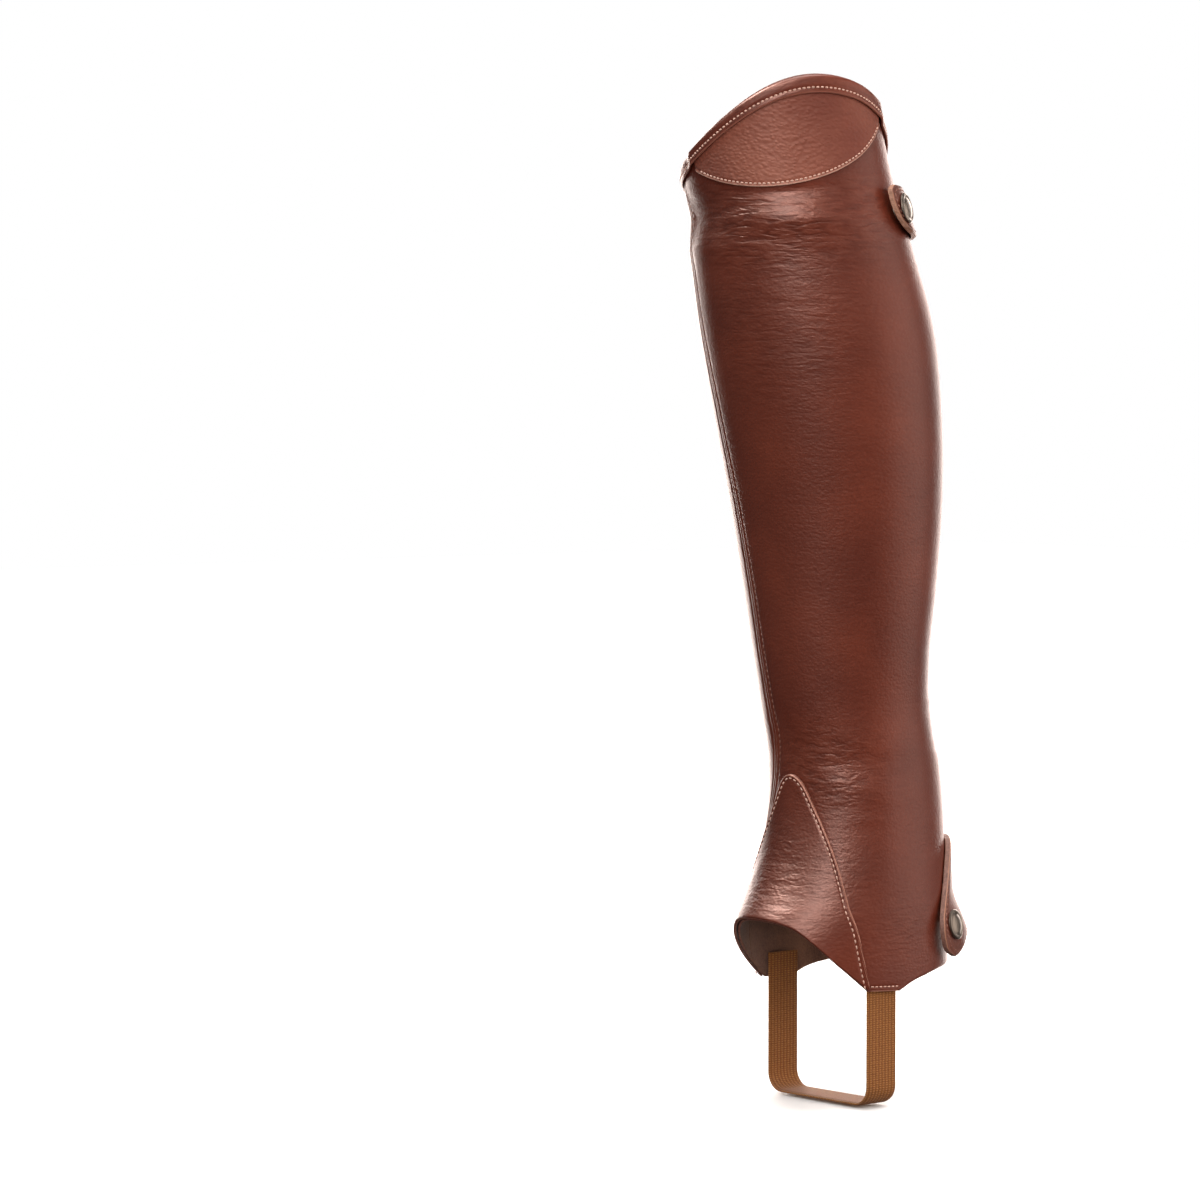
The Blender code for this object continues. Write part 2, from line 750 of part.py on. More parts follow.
# Each tab closes with a snap, whose pieces share the tab's own axis: a domed cap outside, a
# socket under the tab and a stud on the panel
def snap(name, azimuth, height, stand):
    """The three metal pieces of one snap. The stud's low side is just clear of the panel."""
    place = seat(azimuth, height, stand)
    square = outwards(azimuth, height).dot(place.to_3x3().col[2])
    low_side = STUD_RADIUS * math.sqrt(1 - square**2)
    flange = (low_side + SEAM_GAP - stand(azimuth, height)) / square
    neck_foot = flange + STUD_FLANGE
    socket_low = neck_foot + SEAM_GAP
    roof = -SOCKET_UNDER - SOCKET_ROOF
    cap_foot = TAB_LEATHER + SEAM_GAP
    cap = [
        (0, cap_foot),
        (CAP_RADIUS, cap_foot),
        (CAP_RADIUS, cap_foot + CAP_RISE / 3),
        (0.9 * CAP_RADIUS, cap_foot + 0.67 * CAP_RISE),
        (0.6 * CAP_RADIUS, cap_foot + 0.89 * CAP_RISE),
        (0, cap_foot + CAP_RISE),
    ]
    socket = [
        (0, -SOCKET_UNDER),
        (SOCKET_RADIUS, -SOCKET_UNDER),
        (SOCKET_RADIUS, socket_low),
        (SOCKET_BORE, socket_low),
        (SOCKET_BORE, roof),
        (0, roof),
    ]
    stud = [
        (0, flange),
        (STUD_RADIUS, flange),
        (STUD_RADIUS, neck_foot),
        (STUD_NECK, neck_foot),
        (STUD_NECK, roof - SEAM_GAP),
        (0, roof - SEAM_GAP),
    ]
    for kind, profile, steps in (("cap", cap, 20), ("socket", socket, 16), ("stud", stud, 16)):
        made = piece(name + "_snap_" + kind, turned(profile, steps), NICKEL, 0.3, 1.0)
        made.matrix_world = place


snap("top", TOP_SNAP_AT, top_tab_middle(TOP_SNAP_AT), top_tab_stand)
snap("bottom", FIN_SNAP_AT, FIN_SNAP_HEIGHT, fin_stand)


# The elastic strap, sewn inside both tongues of the hem and passing under the sole
def strap_path(out):
    """Points of a U in the XZ plane, moved outwards from the strap's middle."""
    right = STRAP_OUTER - STRAP_THICK / 2
    left = STRAP_INNER + STRAP_THICK / 2
    foot = STRAP_FOOT + STRAP_THICK / 2
    points = [(right + out, STRAP_TOP), (right + out, (STRAP_TOP + foot) / 2)]
    for centre, first in ((right - STRAP_BEND, 0.0), (left + STRAP_BEND, -math.pi / 2)):
        for step in range(STRAP_BEND_STEPS + 1):
            angle = first - step * math.pi / 2 / STRAP_BEND_STEPS
            radius = STRAP_BEND + out
            x = centre + radius * math.cos(angle)
            z = foot + STRAP_BEND + radius * math.sin(angle)
            points.append((x, z))
    points += [(left - out, (STRAP_TOP + foot) / 2), (left - out, STRAP_TOP)]
    return points


def strap_grid(out):
    """Both edges of one face of the strap."""
    across = STRAP_CENTRE + STRAP_WIDTH * np.array([-0.5, 0.5])
    return np.array([[(x, y, z) for y in across] for x, z in strap_path(out)])


ELASTIC_COLOUR = (0.19, 0.075, 0.03)
strap = closed_wall(strap_grid(STRAP_THICK / 2), strap_grid(-STRAP_THICK / 2))
piece("foot_strap", strap, ELASTIC_COLOUR, 0.8)
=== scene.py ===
"""The looks of a leather half chap for the left leg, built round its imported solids.

Millimetres and degrees are used up to the meshes, which are in metres. The shin faces -Y, the
outer side of the leg +X and the zip +Y. An azimuth runs round the leg: 0 at the shin, 90 at the
outer side, 180 at the zip and negative on the inner side.
"""

import json
import math

import bmesh
import bpy
import numpy as np
from mathutils import Matrix, Vector

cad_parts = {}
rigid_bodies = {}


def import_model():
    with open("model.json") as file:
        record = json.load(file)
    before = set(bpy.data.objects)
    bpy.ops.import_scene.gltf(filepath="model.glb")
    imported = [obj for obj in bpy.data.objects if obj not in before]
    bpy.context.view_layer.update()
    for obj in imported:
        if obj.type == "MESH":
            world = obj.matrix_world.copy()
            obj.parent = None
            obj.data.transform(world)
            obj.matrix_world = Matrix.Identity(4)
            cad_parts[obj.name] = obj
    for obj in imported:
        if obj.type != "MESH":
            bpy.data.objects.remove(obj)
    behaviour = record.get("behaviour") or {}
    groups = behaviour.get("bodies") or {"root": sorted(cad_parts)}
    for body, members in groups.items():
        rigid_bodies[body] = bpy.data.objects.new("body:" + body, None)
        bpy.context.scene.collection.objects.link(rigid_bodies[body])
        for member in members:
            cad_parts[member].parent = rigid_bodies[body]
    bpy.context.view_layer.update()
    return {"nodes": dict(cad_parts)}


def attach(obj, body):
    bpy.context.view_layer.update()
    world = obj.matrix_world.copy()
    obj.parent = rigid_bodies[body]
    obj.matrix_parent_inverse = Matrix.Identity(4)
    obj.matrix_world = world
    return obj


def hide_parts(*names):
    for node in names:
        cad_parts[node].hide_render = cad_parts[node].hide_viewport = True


for leftover in list(bpy.data.objects):
    bpy.data.objects.remove(leftover, do_unlink=True)
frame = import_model()
cad_nodes = frame["nodes"]
bpy.ops.object.select_all(action="DESELECT")

# The camera looks at the outer front of the leg, level with its calf, from about 2.2 m. Its lens
# and place give the photograph's frame with no shift
CAMERA_PLACE = (1.60475, -1.50278, 0.15392)
CAMERA_TURN = math.radians(50.0)
CAMERA_DOWN = math.radians(2.6)
CAMERA_LENS = 134.01


def placed(name, data):
    """A new object in the scene, at the origin."""
    made = bpy.data.objects.new(name, data)
    bpy.context.scene.collection.objects.link(made)
    return made


camera_data = bpy.data.cameras.new("camera")
camera_data.lens = CAMERA_LENS
camera_data.sensor_width = 36.0
camera_data.clip_start = 0.1
camera_data.clip_end = 30.0
camera = placed("camera", camera_data)
bpy.context.scene.camera = camera
camera.location = CAMERA_PLACE
camera.rotation_euler = (math.pi / 2 - CAMERA_DOWN, 0.0, CAMERA_TURN)


# The two panels are the body of the chap: milled full-grain cowhide, 1.8 mm thick, cut to the
# leg's shape and worn smooth by the saddle. They meet at the front seam, over the shin, and are
# parted by the zip at the back
MM = 0.001
LEATHER = 1.8
SEAM_GAP = 0.3
SEWN_TIGHT = 0.01
BINDING_LEATHER = 1.2
ZIP_SHOWS = 12.0
MM_PER_DEGREE = 0.84
OUTER = 2
# Sections by height: the centre, and the reach to the outer side, inner side, front and back
FORM = [
    (-160, 0, 38.5, 37.5, 64, 60), (-140, 0, 40, 39, 64, 60.5),
    (-112, 0, 41.2, 39.7, 62.5, 59.7), (-100, 0, 41.5, 40, 57, 59),
    (-88, 0, 41, 39.6, 49.5, 58.8), (-74, 0, 40.1, 38.6, 43.2, 58.4),
    (-60, 0, 39, 37.5, 39.3, 58), (-40, 0, 38, 37, 36.5, 56.5),
    (-20, 0, 37.5, 36.5, 38, 53), (0, 0, 37.5, 36.5, 43, 46.5),
    (25, -1, 40, 39.5, 46.3, 45.5), (60, -3, 44.5, 44.5, 49.3, 50.5),
    (100, -6, 49.5, 49.5, 53, 55.5), (145, -12, 54, 54, 56.2, 59.2),
    (190, -20, 55.5, 55.5, 57.4, 59.8), (225, -28, 53.5, 53.5, 55.3, 54.3),
    (260, -36, 50.5, 49.8, 53.1, 48.3), (315, -46, 49.8, 49.5, 52.8, 44.5),
    (335, -50, 49.8, 49.5, 52.8, 44),
]
RIM_MEAN = 274.6
RIM_WAVES = ((1, 28.1, 72.1), (2, 4.35, 90.1), (3, 1.84, 47.4))
TONGUE_FRONT = 73.0
TONGUE_BACK = 91.0
# The hem's height by azimuth, and the front seam's azimuth by height
HEM_FRONT = [
    (0, -99.5), (15, -100.3), (30, -103.5), (45, -111.5), (60, -123), (73, -134),
]
HEM_BACK = [
    (91, -135), (98, -131.8), (113, -128.5), (146, -126.5), (180, -125.5),
]
SEAM = [
    (-140, -66), (-120, -60), (-90, -48), (-65, -35), (-45, -24), (-30, -16.5), (-16, -12.5),
    (0, -10.5), (35, -12.5), (100, -17), (150, -21.5), (190, -26.5), (250, -33), (320, -39),
]
# Soft folds: azimuth, height, half length in degrees, half height, rise, and climb a degree
FOLDS = [
    (-20, 241, 36, 8, -1.8, 0.02), (-2, 226, 30, 7, 0.8, 0.03),
    (42, 240, 26, 7.5, 0.9, -0.05), (-100, 226, 34, 8, -1, 0.03),
    (-4, -10, 12, 12, -1.2, 0), (165, -14, 26, 6, -1.3, 0.04),
    (170, 2, 24, 6, 0.7, 0.02), (-120, -18, 40, 7, -1.1, -0.03),
    (-110, -2, 36, 6.5, 0.6, -0.02), (58, -22, 30, 6.5, -0.7, -0.05),
    (66, -38, 32, 6.5, 0.6, -0.05),
]


def along(table, x, column=1):
    """A smooth curve through a table's column over its first one, a cubic to each two rows."""
    at, values = (np.array([row[place] for row in table], float) for place in (0, column))
    x = np.clip(x, at[0], at[-1])
    row = np.clip(np.searchsorted(at, x, side="right") - 1, 0, len(at) - 2)
    step = at[row + 1] - at[row]
    t = (x - at[row]) / step
    slope = np.gradient(values, at)
    return (
        (2 * t**3 - 3 * t**2 + 1) * values[row]
        + (t**3 - 2 * t**2 + t) * step * slope[row]
        + (3 * t**2 - 2 * t**3) * values[row + 1]
        + (t**3 - t**2) * step * slope[row + 1]
    )


def eased(share):
    """0 to 1, level at both ends."""
    share = np.clip(share, 0, 1)
    return share * share * (3 - 2 * share)


def hump(away, wide, above=0.0, tall=1.0):
    """1 at the middle of a soft rise, and next to nothing at twice its half sizes."""
    return np.exp(-((away / wide) ** 2) - (above / tall) ** 2)


def form(azimuth, height):
    """The smooth form that the leather's outer face follows."""
    angle = np.radians(azimuth)
    centre, outer, inner, front, back = (along(FORM, height, side) for side in range(1, 6))
    x = np.where(np.sin(angle) > 0, outer, inner) * np.sin(angle)
    y = centre - np.where(np.cos(angle) > 0, front, back) * np.cos(angle)
    return np.stack([x, y, height], axis=-1)


def outwards(azimuth, height):
    """The form's outward direction."""
    turn = form(azimuth + 0.5, height) - form(azimuth - 0.5, height)
    rise = form(azimuth, height + 0.5) - form(azimuth, height - 0.5)
    normal = np.cross(turn, rise)
    return normal / np.linalg.norm(normal, axis=-1, keepdims=True)


def lift_of(folds, azimuth, height, mm_per_degree=1.0):
    """How far a table's folds lift the leather."""
    lift = np.zeros(np.shape(azimuth))
    for at, level, long, tall, rise, lean in folds:
        away = (azimuth - at + 180) % 360 - 180
        lift += rise * hump(away * mm_per_degree, long, height - level - lean * away, tall)
    return lift


def skin(azimuth, height, out=0.0):
    """Points that lie a distance out from the leather's outer face, over its soft folds."""
    azimuth, height, out = (
        np.array(values, float) for values in np.broadcast_arrays(azimuth, height, out)
    )
    lift = out + lift_of(FOLDS, azimuth, height)
    return form(azimuth, height) + outwards(azimuth, height) * lift[..., None]


def degrees_of(width, height):
    """The azimuth that a width takes up at the shin or at the zip."""
    return np.degrees(width / along(FORM, height, OUTER))


def rim(azimuth):
    """The top edge, highest at the outer side of the front."""
    return RIM_MEAN + sum(
        swing * np.cos(np.radians(times * (azimuth - peak))) for times, swing, peak in RIM_WAVES
    )


def panel_top(azimuth):
    """The panels' top edge, inside the binding."""
    return rim(azimuth) - BINDING_LEATHER - SEAM_GAP


def hem(azimuth):
    """The lower edge, the same on both sides of the leg."""
    side = np.abs((np.asarray(azimuth, float) + 180) % 360 - 180)
    before, behind = (along(edge, side) for edge in (HEM_FRONT, HEM_BACK))
    share = np.clip((side - TONGUE_FRONT) / (TONGUE_BACK - TONGUE_FRONT), 0, 1)
    tongue = HEM_FRONT[-1][1] * (1 - share) + HEM_BACK[0][1] * share
    return np.where(share <= 0, before, np.where(share >= 1, behind, tongue))


def zip_edge(height):
    """How far the zip's opening reaches from the middle of the back, in degrees."""
    return degrees_of(ZIP_SHOWS / 2, height)


BORDER = 5.0
BORDER_STEP = 0.6


def stops_between(span, step, near_first=False, near_last=False):
    """Shares of a span about a step apart, and closer near an edge that has a stitched border."""
    start, end = BORDER * near_first, span - BORDER * near_last
    close = np.arange(0.25, BORDER, BORDER_STEP)
    stops = [0.0, span, *np.linspace(start, end, max(2, round((end - start) / step) + 1))]
    stops += [*close] * near_first + [*(span - close)] * near_last
    return np.unique(np.round(stops, 4)) / span


def border_distances(grid):
    """How far each point of a grid lies from its four edges: bottom, top, first and last."""
    up = np.linalg.norm(np.diff(grid, axis=0), axis=-1)
    across = np.linalg.norm(np.diff(grid, axis=1), axis=-1)
    bottom = np.vstack([np.zeros((1, grid.shape[1])), np.cumsum(up, axis=0)])
    first = np.hstack([np.zeros((grid.shape[0], 1)), np.cumsum(across, axis=1)])
    return bottom, bottom[-1:] - bottom, first, first[:, -1:] - first


def rounded_edge(distance, radius=0.7):
    """How far a trimmed edge falls away within its radius."""
    into = np.clip(1 - distance / radius, 0, 1)
    return radius * (1 - np.sqrt(1 - into**2)) * 0.8


def chance(i, j, turn):
    """A fixed share from 0 to 1 for each cell of a lattice."""
    return np.modf(np.abs(np.sin(i * 127.1 + j * 311.7 + turn * 74.7) * 43758.5453))[0]


def wrinkles(azimuth, height, rise, long, tall, lean, turn):
    """Short uneven ridges and troughs, one to each cell of a jittered lattice."""
    u = azimuth * MM_PER_DEGREE / long
    v = (height - lean * azimuth) / tall
    total = np.zeros(np.shape(u))
    for di in (-1, 0, 1):
        for dj in (-1, 0, 1):
            i, j = np.floor(u) + di, np.floor(v) + dj
            across = u - i - chance(i, j, turn)
            above = v - j - chance(i, j, turn + 1) - 0.5 * across * (chance(i, j, turn + 3) - 0.5)
            total += (2 * chance(i, j, turn + 2) - 1) * hump(across, 0.6, above, 0.5)
    return rise * total


# How slack the hide is at each place, where it wrinkles: under the cuff and down the outer calf,
# at the ankle, over the instep, and likewise on the inner side and at the back. Each place has its
# azimuth, height, half width, half height and strength
SLACK = [
    (34, 238, 56, 27, 1), (86, 240, 20, 24, 0.8), (30, 190, 48, 46, 0.42),
    (-90, 222, 46, 34, 0.8), (150, 215, 26, 30, 0.5), (34, -28, 46, 26, 0.85),
    (-100, -18, 48, 26, 0.95), (165, -10, 24, 24, 1), (88, -104, 16, 26, 0.35),
    (0, -86, 60, 34, 1.1),
]
SLACK_EVERYWHERE = 0.12


def slack_at(azimuth, height):
    """The strongest of the slack places, over a little everywhere."""
    most = np.full(np.shape(azimuth), SLACK_EVERYWHERE)
    for at, level, wide, tall, strength in SLACK:
        away = (azimuth - at + 180) % 360 - 180
        near = ((away / wide) ** 2 + ((height - level) / tall) ** 2) ** 1.3
        most = np.maximum(most, strength * np.exp(-near))
    return most


# The main creases are folds by their half sizes in millimetres, and wear has left a share of them.
# Between them the hide wrinkles: rise, length and height of a cell, lean, and turn of the lattice
CREASES_LEFT = 0.75
FINE_WRINKLES = (0.16, 14.0, 3.6, 0.04, 3)
BROAD_WRINKLES = (0.12, 21.0, 9.0, -0.03, 11)
CREASES = [
    (-14, 238, 24, 10, -1.6, 0.04), (44, 252, 30, 5, -1.6, 0.02),
    (44, 238, 32, 8, 2.3, 0), (-18, 223, 22, 6.5, 0.5, 0.05),
    (-30, 236, 7, 1.3, 0.3, 0.06), (-16, 234, 6, 1.2, 0.28, -0.05),
    (-7, 231, 7, 1.3, -0.28, 0.04), (-22, 229, 6, 1.2, -0.3, 0.05),
    (-34, 225, 7, 1.3, 0.3, -0.03), (-10, 224, 7, 1.2, 0.28, 0.05),
    (4, 228, 7, 1.2, -0.26, 0.03), (-26, 249, 16, 1.9, -0.35, 0.02),
    (-4, 247, 13, 1.5, -0.5, 0.06), (14, 249, 10, 1.4, 0.4, -0.02),
    (21, 245, 14, 1.5, -0.5, 0.03), (33, 248, 11, 1.3, 0.42, 0.05),
    (36, 243, 12, 1.4, -0.4, -0.03), (48, 247, 13, 1.5, -0.42, 0.04),
    (8, 239, 12, 1.7, 0.32, 0.07), (-12, 230, 12, 1.8, 0.34, 0.05),
    (-30, 229, 10, 1.7, -0.32, -0.03), (2, 232, 11, 1.6, -0.34, 0.02),
    (24, 236, 12, 1.4, 0.38, -0.05), (52, 238, 14, 1.6, 0.3, -0.04),
    (66, 246, 12, 1.6, -0.3, 0.05), (78, 251, 10, 1.6, 0.34, 0.12),
    (86, 243, 9, 1.5, -0.34, 0.15), (80, 237, 10, 1.5, 0.32, 0.08),
    (88, 230, 9, 1.6, -0.3, -0.04), (72, 226, 11, 1.6, 0.26, 0.03),
    (84, 219, 10, 1.7, 0.24, -0.08), (12, 226, 13, 1.5, 0.34, 0.03),
    (38, 229, 13, 1.6, -0.3, -0.04), (-96, 238, 20, 1.8, -0.45, 0.02),
    (-118, 233, 16, 1.6, 0.4, -0.03), (-80, 229, 17, 1.7, 0.35, 0.03),
    (-104, 222, 18, 1.6, -0.34, 0.02), (-2, -8, 10, 2, -0.3, 0.05),
    (24, -14, 15, 1.7, -0.23, 0.1), (40, -19, 16, 1.6, 0.22, 0.09),
    (30, -25, 15, 1.5, -0.25, 0.07), (52, -27, 15, 1.7, -0.23, 0.08),
    (38, -33, 15, 1.6, 0.22, 0.05), (60, -38, 16, 1.7, -0.2, 0.04),
    (48, -45, 12, 1.5, -0.2, 0.02), (66, -51, 13, 1.2, 0.34, 0.01),
    (64, -56, 12, 1.5, -0.18, 0.02), (84, -30, 12, 1.9, -0.14, 0.03),
    (-60, -22, 18, 1.8, -0.5, -0.06), (-84, -28, 18, 1.7, 0.42, -0.05),
    (-102, -12, 20, 1.9, -0.5, -0.02), (-130, -20, 18, 1.8, -0.46, 0.03),
    (-76, -42, 16, 1.6, -0.36, -0.03), (-146, -4, 14, 1.8, 0.42, 0.05),
    (150, -20, 14, 1.8, -0.48, -0.05), (158, -7, 13, 1.7, -0.42, 0.04),
    (140, 4, 14, 1.6, 0.34, 0.02), (-164, -14, 9, 1.8, -0.45, -0.03),
]


def creases(azimuth, height):
    """How far the main creases and the wrinkles between them lift the grain side."""
    fine, broad = (wrinkles(azimuth, height, *row) for row in (FINE_WRINKLES, BROAD_WRINKLES))
    main = CREASES_LEFT * lift_of(CREASES, azimuth, height, MM_PER_DEGREE)
    return main + slack_at(azimuth, height) * (fine + broad)


def bare_piece(name, points, faces):
    """A new piece from points in metres."""
    mesh = bpy.data.meshes.new(name)
    mesh.from_pydata(np.array(points).tolist(), [], faces)
    return placed(name, mesh)


def piece_mesh(name, points, faces, cut, facts):
    """A new piece, with its cut in centimetres as the UV map and its facts as attributes."""
    made = bare_piece(name, points * MM, faces)
    mesh = made.data
    corners = np.zeros(len(mesh.loops), np.int32)
    mesh.loops.foreach_get("vertex_index", corners)
    layer = mesh.uv_layers.new(name="Cut")
    layer.data.foreach_set("uv", (cut[corners] / 10).astype(np.float32).ravel())
    for fact, values in facts.items():
        attribute = mesh.attributes.new(fact, "FLOAT", "POINT")
        attribute.data.foreach_set("value", values.astype(np.float32).ravel())
    mesh.shade_smooth()
    return made


def leather_mesh(name, outside, inside, azimuth, height, facts, rings=()):
    """One closed piece from its two faces. Rings are its cut edge's steps: a share in, and a sink."""
    rows, columns = outside.shape[:2]
    count = rows * columns
    index = np.arange(count).reshape(rows, columns)
    border, within = (
        np.concatenate([index[i], index[1:, -1 - i], index[-1 - i, -2::-1], index[-2:0:-1, i]])
        for i in (0, 1)
    )
    flat_out, flat_in = outside.reshape(-1, 3), inside.reshape(-1, 3)
    away = flat_out[border] - flat_out[within]
    away /= np.linalg.norm(away, axis=1, keepdims=True)
    points, loops = [flat_out, flat_in], [border]
    for number, (share, sink) in enumerate(rings):
        points.append(flat_out[border] * (1 - share) + flat_in[border] * share - away * sink)
        loops.append(2 * count + number * len(border) + np.arange(len(border)))
    loops.append(border + count)
    corners = index[:-1, :-1], index[:-1, 1:], index[1:, 1:], index[1:, :-1]
    grid = np.stack([corner.ravel() for corner in corners], 1)
    faces = [grid, grid[:, ::-1] + count]
    for near, far in zip(loops, loops[1:]):
        faces.append(np.stack([near, far, np.roll(far, -1), np.roll(near, -1)], 1))
    kinds = [0] * len(grid) + [1] * len(grid) + [2] * (len(border) * (len(loops) - 1))

    def on_points(values):
        """Values on the grid, for both faces and the rings between them."""
        values = np.broadcast_to(values, (rows, columns)).ravel()
        return np.concatenate([values, values, *[values[border]] * len(rings)])

    cut = np.stack([on_points(azimuth * MM_PER_DEGREE), on_points(height)], 1)
    facts = {fact: on_points(values) for fact, values in facts.items()}
    made = piece_mesh(name, np.concatenate(points), np.concatenate(faces).tolist(), cut, facts)
    made.data.polygons.foreach_set("material_index", kinds)
    made.data.validate()
    made.data.set_sharp_from_angle(angle=math.radians(50))
    return made


def cut_and_sewn(made, node, materials):
    """Gives a sheet of leather or cloth its materials, attaches it to the chap, and hides the CAD
    piece that it stands for.
    """
    for material in materials:
        made.data.materials.append(material)
    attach(made, "chap")
    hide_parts(node)
    return made


def leather_piece(node, name, azimuth, height, over, under, slack, edge, hides,
                  rings=()):
    """A piece of leather whose two faces lie over and under the leg's outer face."""
    faces = (skin(azimuth, height, out) for out in (over, under))
    facts = {"slack": slack, "edge": edge}
    made = leather_mesh(name, *faces, azimuth, height, facts, rings)
    return cut_and_sewn(made, node, hides)


def linear(code):
    """A sRGB hex value as the linear colour that a shader takes."""
    parts = [int(code[i : i + 2], 16) / 255 for i in (1, 3, 5)]
    return (*[((p + 0.055) / 1.055) ** 2.4 if p > 0.04045 else p / 12.92 for p in parts], 1.0)


def set_inputs(tree, node, inputs):
    """Each input is a value, or the socket that it is linked from."""
    for name, value in inputs.items():
        if isinstance(value, bpy.types.NodeSocket):
            tree.links.new(value, node.inputs[name])
        else:
            node.inputs[name].default_value = value


def add_node(tree, kind, inputs, out=0, **settings):
    """One shader node with its settings and links. Gives one of its outputs."""
    made = tree.nodes.new("ShaderNode" + kind)
    for name, value in settings.items():
        setattr(made, name, value)
    set_inputs(tree, made, inputs)
    return made.outputs[out]


def bare_material(name):
    """A new material, its tree of nodes and its shader."""
    material = bpy.data.materials.new(name)
    material.use_nodes = True
    return material, material.node_tree, material.node_tree.nodes["Principled BSDF"]


# Full-grain cowhide, drummed soft, dyed chestnut and finished with wax. The grain shows as short
# level wrinkles about 3 mm apart where the hide is slack, and as fine pebbles elsewhere
# Ridge crests: dye rubbed off, with a painted highlight
RUBBED_AND_PAINTED_HIGHLIGHT = "#87503f"
# Painted shade for the troughs of the wrinkles
PAINTED_TROUGH_SHADE = "#341109"


def grain_leather(name, dark, light, worn, roughness, pebble=1.0, wrinkle=1.0, cell=1.0):
    material, tree, shader = bare_material(name)
    cut = add_node(tree, "UVMap", {}, uv_map="Cut")
    slack, edge = (
        add_node(tree, "Attribute", {}, "Fac", attribute_name=fact) for fact in ("slack", "edge")
    )
    long_cells = add_node(tree, "Mapping", {"Vector": cut, "Scale": (1.3, 5.0, 1.0)})
    ridges = add_node(tree, "TexNoise", {
        "Vector": long_cells, "Scale": 1.0, "Detail": 0.8, "Roughness": 0.45, "Distortion": 0.7})
    pebble_cells = add_node(tree, "Mapping", {"Vector": cut, "Scale": (6.2, 8.4, 1.0)})
    pebbles = add_node(tree, "TexVoronoi", {
        "Vector": pebble_cells, "Scale": 1.0 / cell, "Smoothness": 0.7}, feature="SMOOTH_F1")
    pores, patches = (
        add_node(tree, "TexNoise", {
            "Vector": cut, "Scale": size, "Detail": 2.0, "Roughness": rough})
        for size, rough in ((26.0, 0.6), (0.22, 0.45))
    )
    # The dye takes unevenly and is worn off the edges. The ridges are lighter, partly where the dye
    # is rubbed off and partly as a painted highlight, painted shade darkens the troughs, and the hide
    # is darker between the pebbles
    colour = linear(dark)
    for pattern, first, last, least, most, by_slack, dye in (
        (patches, 0.3, 0.7, 0.0, 1.0, False, light),
        # ridge crests: rubbed dye with a painted highlight
        (ridges, 0.42, 0.66, 0.0, 0.22, True, RUBBED_AND_PAINTED_HIGHLIGHT),
        # painted shade in the troughs
        (ridges, 0.52, 0.32, 0.0, 0.38, True, PAINTED_TROUGH_SHADE),
        (pebbles, 0.35, 0.95, 0.0, 0.35, False, dark),
        (edge, 0.7, 1.3, 0.85, 0.0, False, worn),
    ):
        share = add_node(tree, "MapRange", {
            "Value": pattern, "From Min": first, "From Max": last, "To Min": least, "To Max": most})
        if by_slack:
            share = add_node(tree, "Math", {0: share, 1: slack}, operation="MULTIPLY")
        mixed = {0: share, 6: colour, 7: linear(dye)}
        colour = add_node(tree, "Mix", mixed, 2, data_type="RGBA")
    gloss = add_node(tree, "MapRange", {
        "Value": pores, "From Min": 0.3, "From Max": 0.7,
        "To Min": roughness - 0.04, "To Max": roughness + 0.08})
    lifted = add_node(tree, "Math", {0: ridges, 1: slack}, operation="MULTIPLY")
    below = {}
    for height, rise, sunk in (
        (lifted, 0.7 * wrinkle, False), (pebbles, 0.13 * pebble, True), (pores, 0.05, False)
    ):
        bump = {"Height": height, "Distance": rise * MM, **below}
        below = {"Normal": add_node(tree, "Bump", bump, invert=sunk)}
    set_inputs(tree, shader, {
        "Base Color": colour, "Roughness": gloss, **below, "IOR": 1.5,
        "Specular IOR Level": 0.45, "Specular Tint": linear("#ffdccf"),
        "Coat Weight": 0.08, "Coat Roughness": 0.3})
    return material


chestnut = grain_leather("milled_chestnut_cowhide", "#541d0f", "#692a18", "#a8705c", 0.42)


# Where hide or thread shows its fibres, they are darker in their hollows. Each noise is its cells
# to a metre, detail and roughness, and the first one also lifts the surface
def fibrous_material(name, dark, light, noises, first, last, rise, values):
    material, tree, shader = bare_material(name)
    place = add_node(tree, "TexCoord", {}, "Object")
    fibres = [
        add_node(tree, "TexNoise", {
            "Vector": place, "Scale": size, "Detail": fine, "Roughness": rough})
        for size, fine, rough in noises
    ]
    shade = fibres[0]
    for clouds in fibres[1:]:
        shade = add_node(tree, "Math", {0: shade, 1: clouds}, operation="ADD")
    share = add_node(tree, "MapRange", {"Value": shade, "From Min": first, "From Max": last})
    mixed = {0: share, 6: linear(dark), 7: linear(light)}
    bump = {"Height": fibres[0], "Distance": rise * MM}
    set_inputs(tree, shader, {
        "Base Color": add_node(tree, "Mix", mixed, 2, data_type="RGBA"),
        "Normal": add_node(tree, "Bump", bump), **values})
    return material


# The flesh side is the hide's rough inner face: buffed, matt, lighter and fibrous
flesh = fibrous_material(
    "buffed_flesh_side", "#5a3523", "#8a5d42", ((900.0, 3.0, 0.7), (45.0, 2.0, 0.5)), 0.7, 1.3, 0.2,
    {"Roughness": 0.9, "Sheen Weight": 0.2, "Sheen Roughness": 0.5})


# A cut edge shows the hide's pale fibres, skived, dyed thinly and rubbed with wax
def cut_edge(name, dark, light):
    noises = ((700.0, 4.0, 0.65),)
    return fibrous_material(name, dark, light, noises, 0.35, 0.65, 0.18, {"Roughness": 0.62})


dyed_edge = cut_edge("dyed_cut_edge", "#6b3526", "#96604c")
pale_edge = cut_edge("pale_cut_edge", "#95654f", "#c4937a")

PANEL_ROW_STOPS = [
    (-125.0, -64.0, 1.9), (-64.0, 18.0, 0.95), (18.0, 150.0, 1.9), (150.0, 262.0, 1.0),
    (262.0, 300.0, 1.7),
]
PANEL_STEP = 1.7
CLOSEST_ROWS = 0.45
HEM_SEWN_UP = 2.4
EDGE_SEWN_IN = 2.8
FAR_OFF = 9.0

